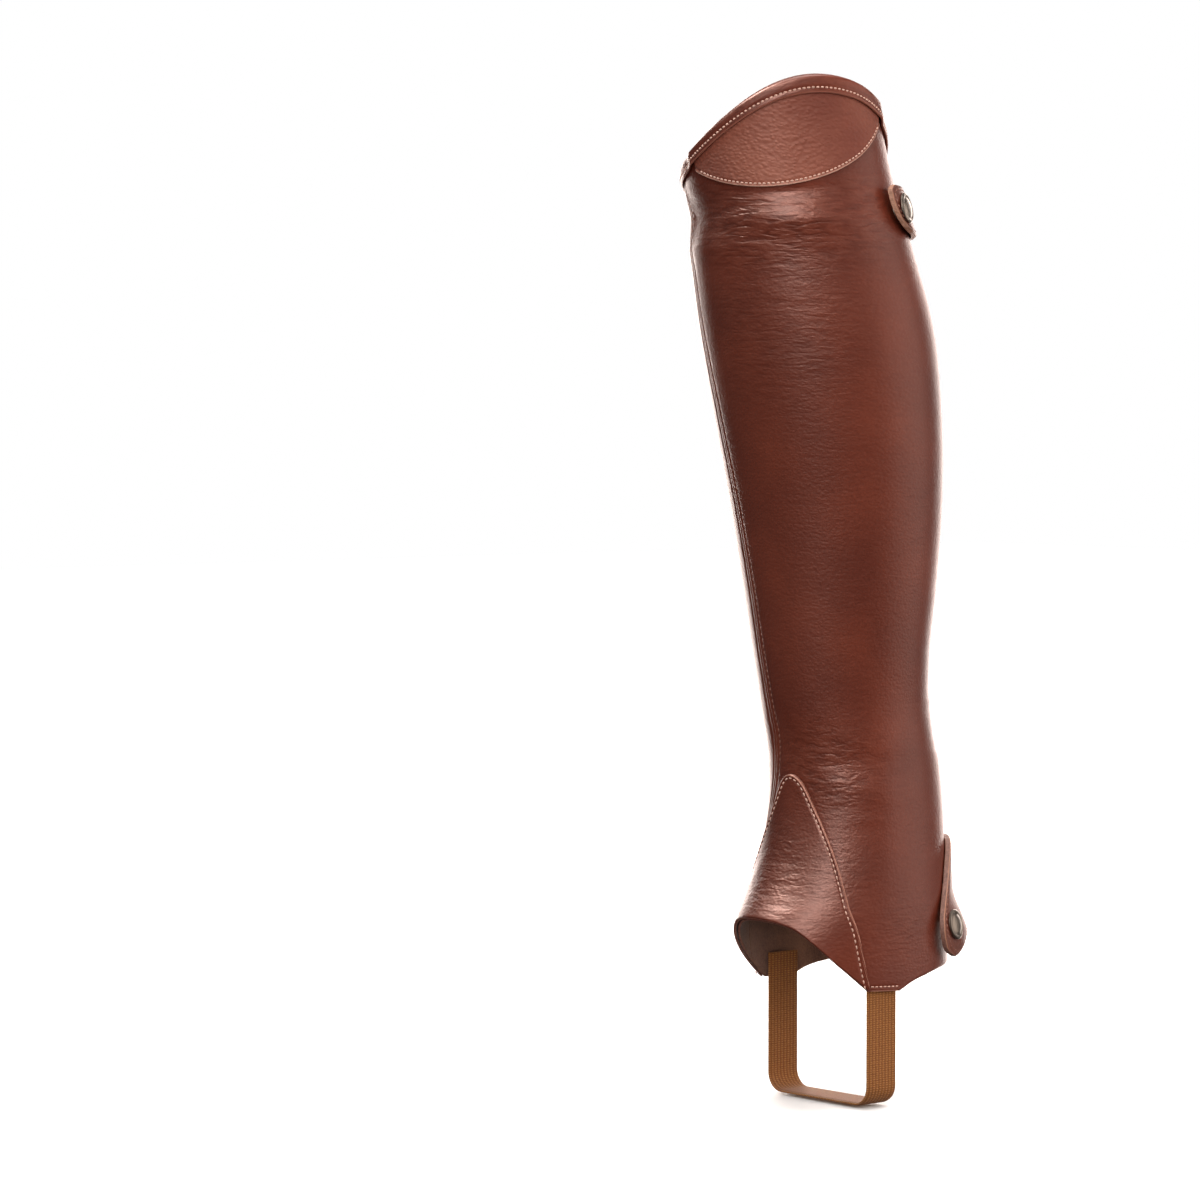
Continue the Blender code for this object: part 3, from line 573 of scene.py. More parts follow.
# A panel's rows are closest where it is creased, and at its edges
low, high = float(hem(90.0)), float(panel_top(90.0))
levels = [low, high, *(low + np.arange(0.3, 5.0, 0.65))]
for stops in PANEL_ROW_STOPS:
    levels += list(np.arange(*stops))
levels = sorted(level for level in levels if low <= level <= high)
row_levels = [levels[0]]
for level in levels[1:-1]:
    if level - row_levels[-1] > CLOSEST_ROWS and high - level > CLOSEST_ROWS:
        row_levels.append(level)
panel_rows = ((np.array([*row_levels, levels[-1]]) - low) / (high - low))[:, None]


def panel(node, first, middle, last):
    """A panel from its first edge round to its last, with its rows from the hem to the rim."""
    height = hem(90.0) + (panel_top(90.0) - hem(90.0)) * panel_rows * np.ones((1, 2))
    for _ in range(8):
        knots = [first(height[:, :1]), *middle, last(height[:, -1:])]
        knots = [knot * np.ones_like(panel_rows) for knot in knots]
        spans = []
        for number, (start, end) in enumerate(zip(knots, knots[1:])):
            width = float(np.mean(end - start)) * MM_PER_DEGREE
            stops = stops_between(width, PANEL_STEP, number == 0, number == len(knots) - 2)
            spans.append(start + (end - start) * (stops if number == 0 else stops[1:]))
        azimuth = np.concatenate(spans, axis=1)
        height = hem(azimuth) + (panel_top(azimuth) - hem(azimuth)) * panel_rows
    bottom, top, start, end = border_distances(skin(azimuth, height))
    edge = np.minimum.reduce([bottom, top, start, end])
    hidden = covered(azimuth, height)
    calm = eased((edge - 2.0) / 6.0) * (1 - hidden)
    tongue = eased(8.5 - np.abs(np.abs(azimuth) - (TONGUE_FRONT + TONGUE_BACK) / 2))
    lift = creases(azimuth, height) * (0.15 + 0.85 * calm)
    lift -= 0.35 * hump(bottom - HEM_SEWN_UP, 0.6) * tongue
    for side in (start, end):
        lift -= 0.4 * hump(side - EDGE_SEWN_IN, 0.7)
    lift = np.where(hidden > 0.5, np.minimum(lift, 0.0), lift)
    over = lift - rounded_edge(edge)
    under = 0.85 * lift * calm - LEATHER + 0.5 * rounded_edge(edge)
    pale = np.minimum(bottom + 1.0 - tongue, start if node == "outer_panel" else FAR_OFF)
    return leather_piece(
        node, node + "_leather", azimuth, height, over, under, slack_at(azimuth, height) * calm,
        pale + 0.35, (chestnut, flesh, dyed_edge))


CUFF_FIRST = -9.0
CUFF_LAST = 115.0
CUFF_LOW_AT = 34.0
CUFF_LOW = 253.6
CUFF_CURVE = 0.0047
GUSSET_END = 73.0
GUSSET = [
    (-73, -132.5), (-65, -112), (-48, -91), (-31, -69.5), (-19, -52), (-12, -42.5),
    (-5, -33.5), (0, -30.2), (5, -29.3), (10, -30.3), (15, -33.2), (23.5, -43),
    (31, -52), (43.5, -69.5), (56, -91), (67.5, -112), (73, -132.5),
]


def cuff_edge(azimuth):
    """Height of the cuff's lower edge: an arc, lowest a little outside the shin."""
    return CUFF_LOW + CUFF_CURVE * (azimuth - CUFF_LOW_AT) ** 2


def gusset_edge(azimuth):
    return along(GUSSET, azimuth)


def covered(azimuth, height):
    """1 where the cuff, the gusset or the binding lies on a panel, and 0 clear of them."""
    cuff = eased((height - cuff_edge(azimuth) + 2.5) / 2.0)
    cuff = cuff * (azimuth > CUFF_FIRST - 4) * (azimuth < CUFF_LAST + 4)
    gusset = eased((gusset_edge(azimuth) + 2.0 - height) / 2.0)
    gusset = gusset * (np.abs(azimuth) < GUSSET_END + 2)
    binding = eased((height - rim(azimuth) + 13.0) / 2.5)
    return np.maximum(np.maximum(cuff, gusset), binding)


outer_panel = panel(
    "outer_panel", lambda height: along(SEAM, height) + degrees_of(SEWN_TIGHT, height),
    (TONGUE_FRONT, TONGUE_BACK), lambda height: 180 - zip_edge(height))
inner_panel = panel(
    "inner_panel", lambda height: zip_edge(height) - 180, (-TONGUE_BACK, -TONGUE_FRONT),
    lambda height: along(SEAM, height) - degrees_of(SEWN_TIGHT, height))


# The seams are sewn with a pale bonded polyester thread, 0.6 mm thick, in stitches of 3 mm. Each
# stitch is pulled down into the leather at both ends
def thread_material(name, dark, light):
    noises = ((1600.0, 2.0, 0.6),)
    return fibrous_material(name, dark, light, noises, 0.0, 1.0, 0.1, {"Roughness": 0.55})


pale_thread = thread_material("pale_bonded_thread", "#b98671", "#dfb5a1")
tonal_thread = thread_material("tonal_bonded_thread", "#6e3a2c", "#9c6753")
STITCH_SIDES = 6
STITCH_STEPS = 5


def stitch_row(name, azimuths, heights, out, material, pitch=3.0, long=2.3, thick=0.66):
    """A row of stitches along a line of places on the leather, one small bent tube to each."""
    line = skin(azimuths, heights, out)
    away = outwards(azimuths, heights)
    run = np.concatenate([[0], np.cumsum(np.linalg.norm(np.diff(line, axis=0), axis=1))])
    count = max(1, int(run[-1] / pitch))
    middles = (np.arange(count) + 0.5) * run[-1] / count
    share = np.linspace(-1, 1, STITCH_STEPS)
    at = middles[:, None] + share * long / 2
    centre, normal = (
        np.stack([np.interp(at, run, values[:, k]) for k in range(3)], -1) for values in (line, away)
    )
    tangent = np.gradient(centre, axis=1)
    tangent /= np.linalg.norm(tangent, axis=-1, keepdims=True)
    side = np.cross(normal, tangent)
    radius = thick / 2 * np.sqrt(np.clip(1 - (0.9 * share) ** 4, 0, 1))[:, None, None]
    centre = centre + normal * (thick * (0.22 - 0.75 * share**2))[:, None]
    angles = np.arange(STITCH_SIDES)[:, None] * 2 * math.pi / STITCH_SIDES
    ring = centre[:, :, None] + side[:, :, None] * (np.cos(angles) * radius)
    ring = ring + normal[:, :, None] * (np.sin(angles) * radius)
    index = np.arange(ring[..., 0].size).reshape(ring.shape[:3])
    right = np.roll(index, -1, axis=2)
    faces = np.stack([index[:, :-1], right[:, :-1], right[:, 1:], index[:, 1:]], -1)
    faces = faces.reshape(-1, 4).tolist() + index[:, 0, ::-1].tolist() + index[:, -1].tolist()
    made = bare_piece(name, ring.reshape(-1, 3) * MM, faces)
    made.data.shade_smooth()
    made.data.materials.append(material)
    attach(made, "chap")


# The front seam is lapped and top-stitched on the outer panel, a little behind its edge
seam_heights = np.linspace(-36.0, 262.0, 400)
seam_azimuths = along(SEAM, seam_heights) + degrees_of(SEAM_GAP / 2 + EDGE_SEWN_IN, seam_heights)
stitch_row("front_seam_stitches", seam_azimuths, seam_heights, -0.4, tonal_thread)

# Both zip edges are sewn to the tapes beneath with one row each
BACK_HEM = float(hem(180.0))
BACK_RIM = float(rim(180.0))
zip_heights = np.linspace(BACK_HEM + 3.0, BACK_RIM - 10.0, 400)
for side, name in ((1, "outer"), (-1, "inner")):
    zip_azimuths = side * (180 - degrees_of(ZIP_SHOWS / 2 + EDGE_SEWN_IN, zip_heights))
    stitch_row("zip_stitches_" + name, zip_azimuths, zip_heights, -0.4, tonal_thread)


# The cuff is a lens of the same hide, a little drier and more matt, laid on the outer panel and
# sewn along its lower edge with the pale thread. Its upper edge is under the binding
CUFF_LEATHER = 1.3
CUFF_STEP = 1.1
CUFF_TALL = 46.0
CUFF_SEWN_IN = 1.6
CUFF_WRINKLES = (0.05, 4.6, 3.4, 0.0, 5)
LAID_ON = 0.45
STITCH_SINKS = 0.25
cuff_hide = grain_leather(
    "matt_chestnut_cowhide", "#6a2e1f", "#8a4c39", "#b98976", 0.6, pebble=3.2, wrinkle=0.15,
    cell=1.15)


def laid_piece(node, name, columns, low, high, rows, leather, hides, slack, dyed, shape, sewn_in):
    """A piece of leather laid on the panels, between a lower and an upper edge."""
    azimuth = np.broadcast_to(columns, (len(rows), len(columns)))
    height = low(columns) + (high(columns) - low(columns)) * rows[:, None]
    edges = border_distances(skin(azimuth, height, LAID_ON + leather))
    run, lift = shape(azimuth, height, *edges[:2])
    lift = lift - 0.32 * hump(run - sewn_in, 0.5) - rounded_edge(np.minimum.reduce(edges), 0.6)
    leather_piece(
        node, name, azimuth, height, LAID_ON + leather + lift, LAID_ON,
        slack * slack_at(azimuth, height), run + dyed, hides)


def cuff_shape(azimuth, height, bottom, top):
    """How far each place is from the sewn edge, and its lift."""
    lift = wrinkles(azimuth, height, *CUFF_WRINKLES)
    return bottom, lift * eased((np.minimum(bottom, top) - 3) / 5)


cuff_width = (CUFF_LAST - CUFF_FIRST) * MM_PER_DEGREE
laid_piece(
    "cuff_panel", "cuff_leather",
    CUFF_FIRST + (CUFF_LAST - CUFF_FIRST) * stops_between(cuff_width, CUFF_STEP), cuff_edge,
    panel_top, stops_between(CUFF_TALL, CUFF_STEP, True), CUFF_LEATHER,
    (cuff_hide, flesh, pale_edge), 0.1, 0.25, cuff_shape, CUFF_SEWN_IN)
cuff_line = np.linspace(CUFF_FIRST + 5.0, CUFF_LAST - 4.0, 400)
stitch_row(
    "cuff_stitches", cuff_line, cuff_edge(cuff_line) + CUFF_SEWN_IN,
    LAID_ON + CUFF_LEATHER - STITCH_SINKS, pale_thread, pitch=2.2, long=1.85, thick=0.85)


# The instep gusset is a rounded triangle of the same hide, laid over both panels and sewn 1.9 mm
# inside its edge. It is the most wrinkled piece, because the foot bends under it
GUSSET_LEATHER = 1.6
GUSSET_SEWN_IN = 1.9
GUSSET_MM_PER_DEGREE = 0.72
GUSSET_WIDE = 150.0
GUSSET_TALL = 72.0
GUSSET_WRINKLES = (0.08, 8.5, 3.8, 0.03, 21)
GUSSET_CREASES_LEFT = 0.2
GUSSET_CREASES = [
    (12, -72, 14, 1.5, -0.4, 0.03), (-6, -76, 13, 1.4, 0.4, -0.04),
    (20, -80, 13, 1.5, 0.44, 0.02), (4, -84, 15, 1.4, -0.5, 0.05),
    (24, -87, 12, 1.4, -0.42, -0.03), (8, -90, 14, 1.3, 0.46, 0.02),
    (-14, -88, 12, 1.5, -0.36, -0.04), (16, -94, 14, 1.4, -0.46, 0.04),
    (-2, -96, 13, 1.3, 0.34, -0.02), (32, -96, 12, 1.4, 0.3, 0.05),
    (28, -76, 9, 1.5, -0.3, -0.02), (40, -103, 11, 1.5, -0.28, 0.06),
    (-30, -92, 12, 1.5, 0.3, 0.04), (-38, -100, 12, 1.5, -0.28, -0.04),
]
edge_azimuths = np.linspace(-GUSSET_END, GUSSET_END, 600)
edge_heights = gusset_edge(edge_azimuths)
edge_places = np.stack([edge_azimuths * GUSSET_MM_PER_DEGREE, edge_heights], -1)


def gusset_shape(azimuth, height, bottom, top):
    """How far each place is from the sewn upper edge, about, and its lift."""
    here = np.stack([np.ravel(azimuth) * GUSSET_MM_PER_DEGREE, np.ravel(height)], -1)
    run = np.full(len(here), 1e9)
    for place in edge_places[::3]:
        run = np.minimum(run, np.hypot(*(here - place).T))
    run = run.reshape(np.shape(azimuth))
    lift = wrinkles(azimuth, height, *GUSSET_WRINKLES)
    lift += GUSSET_CREASES_LEFT * lift_of(GUSSET_CREASES, azimuth, height, MM_PER_DEGREE)
    lift = lift * eased((np.minimum(run, bottom) - 2.5) / 7)
    return run, lift + 0.18 * hump(run - 0.9, 0.5)


laid_piece(
    "instep_gusset", "instep_gusset_leather",
    2 * GUSSET_END * stops_between(GUSSET_WIDE, 0.95) - GUSSET_END, hem, gusset_edge,
    stops_between(GUSSET_TALL, 0.85, True, True), GUSSET_LEATHER, (chestnut, flesh, dyed_edge),
    0.55, 0.3, gusset_shape, GUSSET_SEWN_IN)
turn = np.gradient(edge_azimuths * GUSSET_MM_PER_DEGREE)
rise = np.gradient(edge_heights)
inset = GUSSET_SEWN_IN / np.hypot(turn, rise)
stitch_row(
    "gusset_stitches", edge_azimuths + inset * rise / GUSSET_MM_PER_DEGREE,
    edge_heights - inset * turn, LAID_ON + GUSSET_LEATHER - STITCH_SINKS, pale_thread,
    pitch=2.9, long=2.2, thick=0.75)


# The binding is a thin soft strip of the same hide, waxed. It is folded over the rim and over the
# cuff's upper edge, and sewn through near its lower edge with the pale thread
BINDING_OUTSIDE = 8.4
BINDING_WIDER = 1.3
BINDING_WIDEST_AT = 135.0
BINDING_INSIDE = 8.5
BINDING_STEPS_OVER = 8.0
BINDING_STITCH_UP = 2.6
BINDING_SHOULDER = 2.1
BINDING_WRINKLES = (0.16, 8.0, 5.0, 0.0, 31)
bound_hide = grain_leather(
    "soft_binding_cowhide", "#5a2418", "#703222", "#8d5443", 0.38, pebble=0.8, wrinkle=0.3)


def binding_face(azimuth):
    """How far the strip's inner face stands off the panel, or off the cuff where it covers it."""
    past_cuff = np.maximum(CUFF_FIRST - azimuth, azimuth - CUFF_LAST)
    return LAID_ON + (CUFF_LEATHER + LAID_ON) * eased(1 - past_cuff / BINDING_STEPS_OVER)


def binding_width(azimuth):
    return BINDING_OUTSIDE + BINDING_WIDER * np.cos(np.radians(azimuth - BINDING_WIDEST_AT))


def outward_faces(mesh):
    shape = bmesh.new()
    shape.from_mesh(mesh)
    bmesh.ops.recalc_face_normals(shape, faces=shape.faces)
    shape.to_mesh(mesh)
    shape.free()


# The strip's section runs from the panel over the rim and back, and is swept round the rim
end = 180 - float(zip_edge(rim(180.0)))
azimuth = np.linspace(-end, end, 330)[:, None]
face, width = binding_face(azimuth), binding_width(azimuth)
thick, back = BINDING_LEATHER, -LEATHER - LAID_ON
outer_face, inner_face = face + thick, back - thick
middle, reach = (outer_face + inner_face) / 2, (outer_face - inner_face) / 2
section = [(face, width - 0.3), (face + 0.35 * thick, width), (face + 0.85 * thick, width - 0.1)]
for up in (0.62, 1.1, 1.6, 2.1, 2.6, 3.1, 3.7, 4.4, 5.2, 6.0):
    sewn = 0.34 * hump(up - BINDING_STITCH_UP, 0.6)
    section.append((outer_face - sewn + 0.12 * hump(up - 4.6, 1.2), width - up))
for bend in np.radians(np.linspace(8, 172, 13)):
    section.append((middle + reach * math.cos(bend), BINDING_SHOULDER * (1 - math.sin(bend))))
section += [
    (inner_face, 4.5), (inner_face, BINDING_INSIDE - 0.2),
    (inner_face + 0.4 * thick, BINDING_INSIDE), (back, BINDING_INSIDE - 0.2),
    (back, thick + 0.1), (face, thick + 0.1), (face, width / 2)]
out, drop = (
    np.concatenate([values * np.ones_like(azimuth) for values in column], axis=1)
    for column in zip(*section)
)
around = azimuth * np.ones_like(out)
shown = (out > back - 0.2) & (out > face - 0.2) & (drop < width - 0.2)
uneven = np.where(shown, wrinkles(around, drop, *BINDING_WRINKLES), 0)
points = skin(azimuth, rim(azimuth) - drop, out + uneven)
index = np.arange(out.size).reshape(out.shape)
right = np.roll(index, -1, axis=1)
faces = np.stack([index[:-1], index[1:], right[1:], right[:-1]], -1).reshape(-1, 4).tolist()
faces += [index[0].tolist(), index[-1][::-1].tolist()]
edge = np.where(out > face - 0.1, width - drop + 0.25, FAR_OFF)
cut = np.stack([(around * MM_PER_DEGREE).ravel(), drop.ravel()], 1)
facts = {"slack": 0.5 + 0 * out, "edge": edge}
binding = piece_mesh("top_binding_leather", points.reshape(-1, 3), faces, cut, facts)
outward_faces(binding.data)
cut_and_sewn(binding, "top_binding", [bound_hide])
rim_line = np.linspace(-173.0, 173.0, 700)
stitch_row(
    "binding_stitches", rim_line, rim(rim_line) - binding_width(rim_line) + BINDING_STITCH_UP,
    binding_face(rim_line) + BINDING_LEATHER - 0.3, pale_thread, pitch=2.3, long=1.9, thick=0.9)


# The zip's tapes are woven polyester, 13 mm wide each, sewn inside the panels' edges. Their ribs
# run along the tape, with a herringbone between them
TAPE = 1.0
TAPE_WIDTH = 13.0
TAPE_SHORT_OF_HEM = 2.0
TAPE_SHORT_OF_RIM = 10.5


def woven_material(name, dark, light, rib_mm, thread_mm, rise, roughness):
    """Ribs along the length and threads across it, on the piece's own cut."""
    material, tree, shader = bare_material(name)
    cut = add_node(tree, "UVMap", {}, uv_map="Cut")
    ribs, threads = (
        add_node(tree, "TexWave", {
            "Vector": cut, "Scale": math.pi / every_mm, "Distortion": bent, "Detail": 1.0,
            "Detail Scale": fine}, "Fac", bands_direction=along_axis)
        for every_mm, bent, fine, along_axis in ((rib_mm, 0.4, 1.0, "X"), (thread_mm, 0.9, 2.0, "Y"))
    )
    both = add_node(tree, "Math", {0: ribs, 1: threads}, operation="MULTIPLY")
    fuzz = add_node(
        tree, "TexNoise", {"Vector": cut, "Scale": 9.0, "Detail": 3.0, "Roughness": 0.6})
    share = add_node(tree, "Math", {0: both, 1: fuzz}, operation="ADD")
    toned = add_node(tree, "MapRange", {"Value": share, "From Min": 0.35, "From Max": 1.3})
    mixed = {0: toned, 6: linear(dark), 7: linear(light)}
    bump = {"Height": both, "Distance": rise * MM}
    set_inputs(tree, shader, {
        "Base Color": add_node(tree, "Mix", mixed, 2, data_type="RGBA"),
        "Normal": add_node(tree, "Bump", bump), "Roughness": roughness,
        "Specular IOR Level": 0.2, "Sheen Weight": 0.05})
    return material


tape_weave = woven_material("brown_zip_tape_weave", "#2a1510", "#4f2c22", 1.6, 0.8, 0.16, 0.75)

tape_low, tape_high = BACK_HEM + TAPE_SHORT_OF_HEM, BACK_RIM - TAPE_SHORT_OF_RIM
reach = np.array([SEAM_GAP / 2, 0.6, 1.6, 2.6, 3.4, 6.5, 9.8, TAPE_WIDTH])
width = degrees_of(reach, tape_low + (tape_high - tape_low) * panel_rows)
cord = 0.3 * hump(reach - 1.1, 0.7)
for node, side in (("zip_tape_outer", 1), ("zip_tape_inner", -1)):
    azimuth = 180 - side * width
    height = tape_low + (rim(azimuth) - TAPE_SHORT_OF_RIM - tape_low) * panel_rows
    outside = skin(azimuth, height, -LEATHER - LAID_ON + cord - 0.3)
    inside = skin(azimuth, height, -LEATHER - LAID_ON - TAPE)
    tape = leather_mesh(node + "_weave", outside, inside, azimuth, height, {})
    outward_faces(tape.data)
    cut_and_sewn(tape, node, [tape_weave] * 3)


# The zip's teeth are stamped from nickel silver and clamped round the tapes' corded edges, every
# 2.6 mm. They mesh below the slider and stand apart above it
TOOTH_PITCH = 2.6
SLIDER_AT = 212.0
TOOTH_CLEAR = 1.2
TOOTH_SHORT = 4.0
TOOTH_MESHED = 1.05
TOOTH_APART = 1.9


def metal_material(name, dark, light, roughness, wear_mm):
    """Tumbled and plated: soft clouds of tarnish, which also make the gloss uneven."""
    material, tree, shader = bare_material(name)
    place = add_node(tree, "TexCoord", {}, "Object")
    clouds = add_node(tree, "TexNoise", {
        "Vector": place, "Scale": 1000.0 / wear_mm, "Detail": 3.0, "Roughness": 0.55})
    mixed = {0: clouds, 6: linear(dark), 7: linear(light)}
    gloss = add_node(tree, "MapRange", {
        "Value": clouds, "From Min": 0.3, "From Max": 0.7,
        "To Min": roughness - 0.06, "To Max": roughness + 0.1})
    set_inputs(tree, shader, {
        "Base Color": add_node(tree, "Mix", mixed, 2, data_type="RGBA"),
        "Roughness": gloss, "Metallic": 1.0})
    return material


nickel = metal_material("tumbled_nickel_plate", "#6b6259", "#9a9186", 0.34, 4.0)


def seat(azimuth, height, out):
    """The place and turn of a piece on a face whose distance out is a function of the place."""

    def face(azimuth, height):
        return Vector(skin(azimuth, height, out(azimuth, height)))

    up = face(azimuth, height + 0.5) - face(azimuth, height - 0.5)
    away = (face(azimuth + 0.5, height) - face(azimuth - 0.5, height)).cross(up).normalized()
    up.normalize()
    axes = Matrix([up.cross(away), up, away]).transposed().to_4x4()
    return Matrix.Translation(face(azimuth, height) * MM) @ axes


def finished(made, name, body, material, node=None):
    """Names a piece of hardware, applies its place to its mesh, gives it its material and body, and
    hides the CAD piece that it stands for.
    """
    made.name = made.data.name = name
    made.data.transform(made.matrix_world)
    made.matrix_world = Matrix.Identity(4)
    made.data.materials.clear()
    made.data.materials.append(material)
    made.data.shade_smooth()
    made.data.set_sharp_from_angle(angle=math.radians(40))
    made.select_set(False)
    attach(made, body)
    if node:
        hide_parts(node)


bpy.ops.mesh.primitive_cube_add(size=1.0)
tooth = bpy.context.object
tooth.data.transform(Matrix.Diagonal((3.1 * MM, 1.25 * MM, 2.5 * MM, 1.0)))
bpy.ops.object.mode_set(mode="EDIT")
bpy.ops.mesh.select_all(action="SELECT")
bpy.ops.mesh.bevel(offset=0.3 * MM, segments=1, affect="EDGES")
bpy.ops.object.mode_set(mode="OBJECT")
tooth_points = np.array([tuple(v.co) for v in tooth.data.vertices])
tooth_faces = [list(face.vertices) for face in tooth.data.polygons]
bpy.data.objects.remove(tooth, do_unlink=True)

for name, side in (("zip_teeth_outer", 1), ("zip_teeth_inner", -1)):
    points, faces = [], []
    lift = TOOTH_PITCH / 2 if side > 0 else 0.0
    for height in np.arange(tape_low + TOOTH_CLEAR, tape_high - TOOTH_SHORT, TOOTH_PITCH) + lift:
        place = seat(180.0, height, lambda *_: -LEATHER - LAID_ON - 0.35)
        across = (TOOTH_MESHED if height < SLIDER_AT else TOOTH_APART) * side * MM
        turned = np.array(place.to_3x3()) @ (tooth_points - (across, 0, 0)).T
        start = len(points) * len(tooth_points)
        faces += [[start + i for i in face] for face in tooth_faces]
        points.append(turned.T + np.array(place.translation))
    finished(bare_piece(name, np.concatenate(points), faces), name, "chap", nickel)


# The slider and its pull tab are die-cast zinc, nickel plated, with their edges tumbled soft. Each
# is a copy of the CAD piece with merged corners and rounded edges
for node, round_mm, body in (("zip_slider", 0.22, "chap"), ("zip_pull", 0.25, "pull")):
    made = placed(node + "_cast", cad_nodes[node].data.copy())
    bpy.context.view_layer.objects.active = made
    made.select_set(True)
    bpy.ops.object.mode_set(mode="EDIT")
    bpy.ops.mesh.select_all(action="SELECT")
    bpy.ops.mesh.remove_doubles(threshold=0.002 * MM)
    bpy.ops.mesh.dissolve_limited(angle_limit=math.radians(2.0))
    bpy.ops.object.mode_set(mode="OBJECT")
    bevel = made.modifiers.new("Rounded", "BEVEL")
    bevel.width = round_mm * MM
    bevel.segments = 2
    bevel.limit_method = "ANGLE"
    bevel.angle_limit = math.radians(30)
    bpy.ops.object.modifier_apply(modifier=bevel.name)
    finished(made, node + "_cast", body, nickel, node)


# Both tabs are two layers of hide, sewn back to back round their edges, with the pale cut edge
# left raw. They close past the zip on the snaps
TAB_LEATHER = 2.8
TAB_SEWN_IN = 2.2
TAB_WRINKLES = (0.12, 7.0, 5.0, 0.0, 41)
TOP_TAB_HEIGHT = 22.0
TOP_TAB_MIDDLE = 243.0
TOP_TAB_FALL = 0.07
TOP_TAB_ROOT = 200.0
TOP_SNAP_AT = 114.5
FIN_TOP = -64.0
FIN_BOTTOM = -121.5
FIN_BOTTOM_RISE = 12.0
FIN_RISES = (126.0, 158.0)
FIN_ROOT = 206.0
FIN_FLARES = (-88.0, -112.0)
FIN_SNAP_AT = 128.0
FIN_SNAP_HEIGHT = -106.0
# The fronts' azimuth by share of the height, and how far each tab stands off by azimuth
TOP_TAB_FRONT = [
    (0, 118), (0.06, 113.5), (0.2, 109), (0.45, 105.6), (0.75, 104.4), (0.93, 105.6), (1, 108.5),
]
FIN_FRONT = [
    (0, 128), (0.05, 122), (0.15, 118), (0.32, 117.8), (0.56, 127.5), (0.84, 138.5), (0.95, 147),
    (1, 158),
]
TOP_TAB_STAND = [
    (104, 3.2), (115, 3), (126, 1.5), (137, 0.5), (163, 0.5), (182, 2.1), (200, 2.1),
]
FIN_STAND = [
    (117, 3), (128, 4.2), (140, 6), (150, 6.9), (160, 6.6), (178, 4), (196, 0.5), (206, 0.5),
]
tab_hide = grain_leather(
    "tab_chestnut_cowhide", "#4c2016", "#663122", "#a9785f", 0.46, wrinkle=0.35)
TWO_LAYERS = ((0.08, -0.05), (0.42, -0.1), (0.5, 0.35), (0.58, -0.1), (0.92, -0.05))


def tab(node, front, root, low, high, stand, border):
    """A tab from its shaped front back to its root, with two layers and stitches all round."""

    def place(share, back):
        azimuth = along(front, share)
        azimuth = azimuth + (root - azimuth) * back
        return azimuth, low(azimuth) + (high(azimuth) - low(azimuth)) * share

    up = stops_between(24.0, 1.0, True, True)[:, None]
    azimuth, height = place(up, stops_between(70.0, 1.3, True, True))
    stands = stand(azimuth, height)
    edge = np.minimum.reduce(border_distances(skin(azimuth, height, stands)))
    lift = wrinkles(azimuth, height, *TAB_WRINKLES) * eased((edge - 3.0) / 2.0)
    lift = lift - 0.3 * hump(edge - TAB_SEWN_IN, 0.6)
    trimmed = rounded_edge(edge, 0.5)
    leather_piece(
        node, node + "_leather", azimuth, height, stands + TAB_LEATHER + lift - trimmed,
        stands + 0.5 * trimmed, 0.4 + 0 * azimuth, edge + 0.55, (tab_hide, tab_hide, border),
        TWO_LAYERS)
    across, ends = np.linspace(0, 1, 120), np.ones(120)
    line, level = place(
        np.concatenate([0 * ends, across, ends, across[::-1]]),
        np.concatenate([across[::-1], 0 * ends, across, ends]))
    for values, mm in ((line, MM_PER_DEGREE), (level, 1.0)):
        away = values - values.mean()
        values -= TAB_SEWN_IN * away / np.abs(away * mm).max()
    stitch_row(
        node + "_leather_stitches", line, level, stand(line, level) + TAB_LEATHER - 0.22,
        tonal_thread, pitch=2.8, long=2.1)


def top_tab_middle(azimuth):
    """Height of the top tab's centre line, which falls towards its root."""
    return TOP_TAB_MIDDLE - TOP_TAB_FALL * (azimuth - TOP_TAB_FRONT[0][1])


def top_tab_stand(azimuth, height):
    """The top tab lies on the leather behind its snap, and on the binding at its root."""
    return along(TOP_TAB_STAND, azimuth)


def fin_low(azimuth):
    """The bottom tab's lower edge, which rises towards the back."""
    first, last = FIN_RISES
    return FIN_BOTTOM + FIN_BOTTOM_RISE * eased((azimuth - first) / (last - first))


def fin_stand(azimuth, height):
    """The bottom tab lies on the leather at its top and flares below."""
    top, low = FIN_FLARES
    return LAID_ON + eased((height - top) / (low - top)) * along(FIN_STAND, azimuth)


tab("top_tab", TOP_TAB_FRONT, TOP_TAB_ROOT,
    lambda azimuth: top_tab_middle(azimuth) - TOP_TAB_HEIGHT / 2,
    lambda azimuth: top_tab_middle(azimuth) + TOP_TAB_HEIGHT / 2,
    top_tab_stand, pale_edge)
tab("bottom_tab", FIN_FRONT, FIN_ROOT, fin_low, lambda azimuth: np.full(np.shape(azimuth), FIN_TOP),
    fin_stand, cut_edge("rubbed_cut_edge", "#643e31", "#84594a"))


# Each tab closes with a spring snap of plated brass. The cap is 15 mm across, with a rolled rim
# round its low dome. The socket and stud under the tab stay as they are packed
CAP_RADIUS = 7.4
CAP_STEPS = [
    (0.35, 0.35), (0.45, 0.2), (0.7, 0.0), (0.35, -0.22), (0.35, 0.0),
    (0.45, 0.3), (1.2, 0.3), (1.5, 0.17), (1.2, 0.06),
]

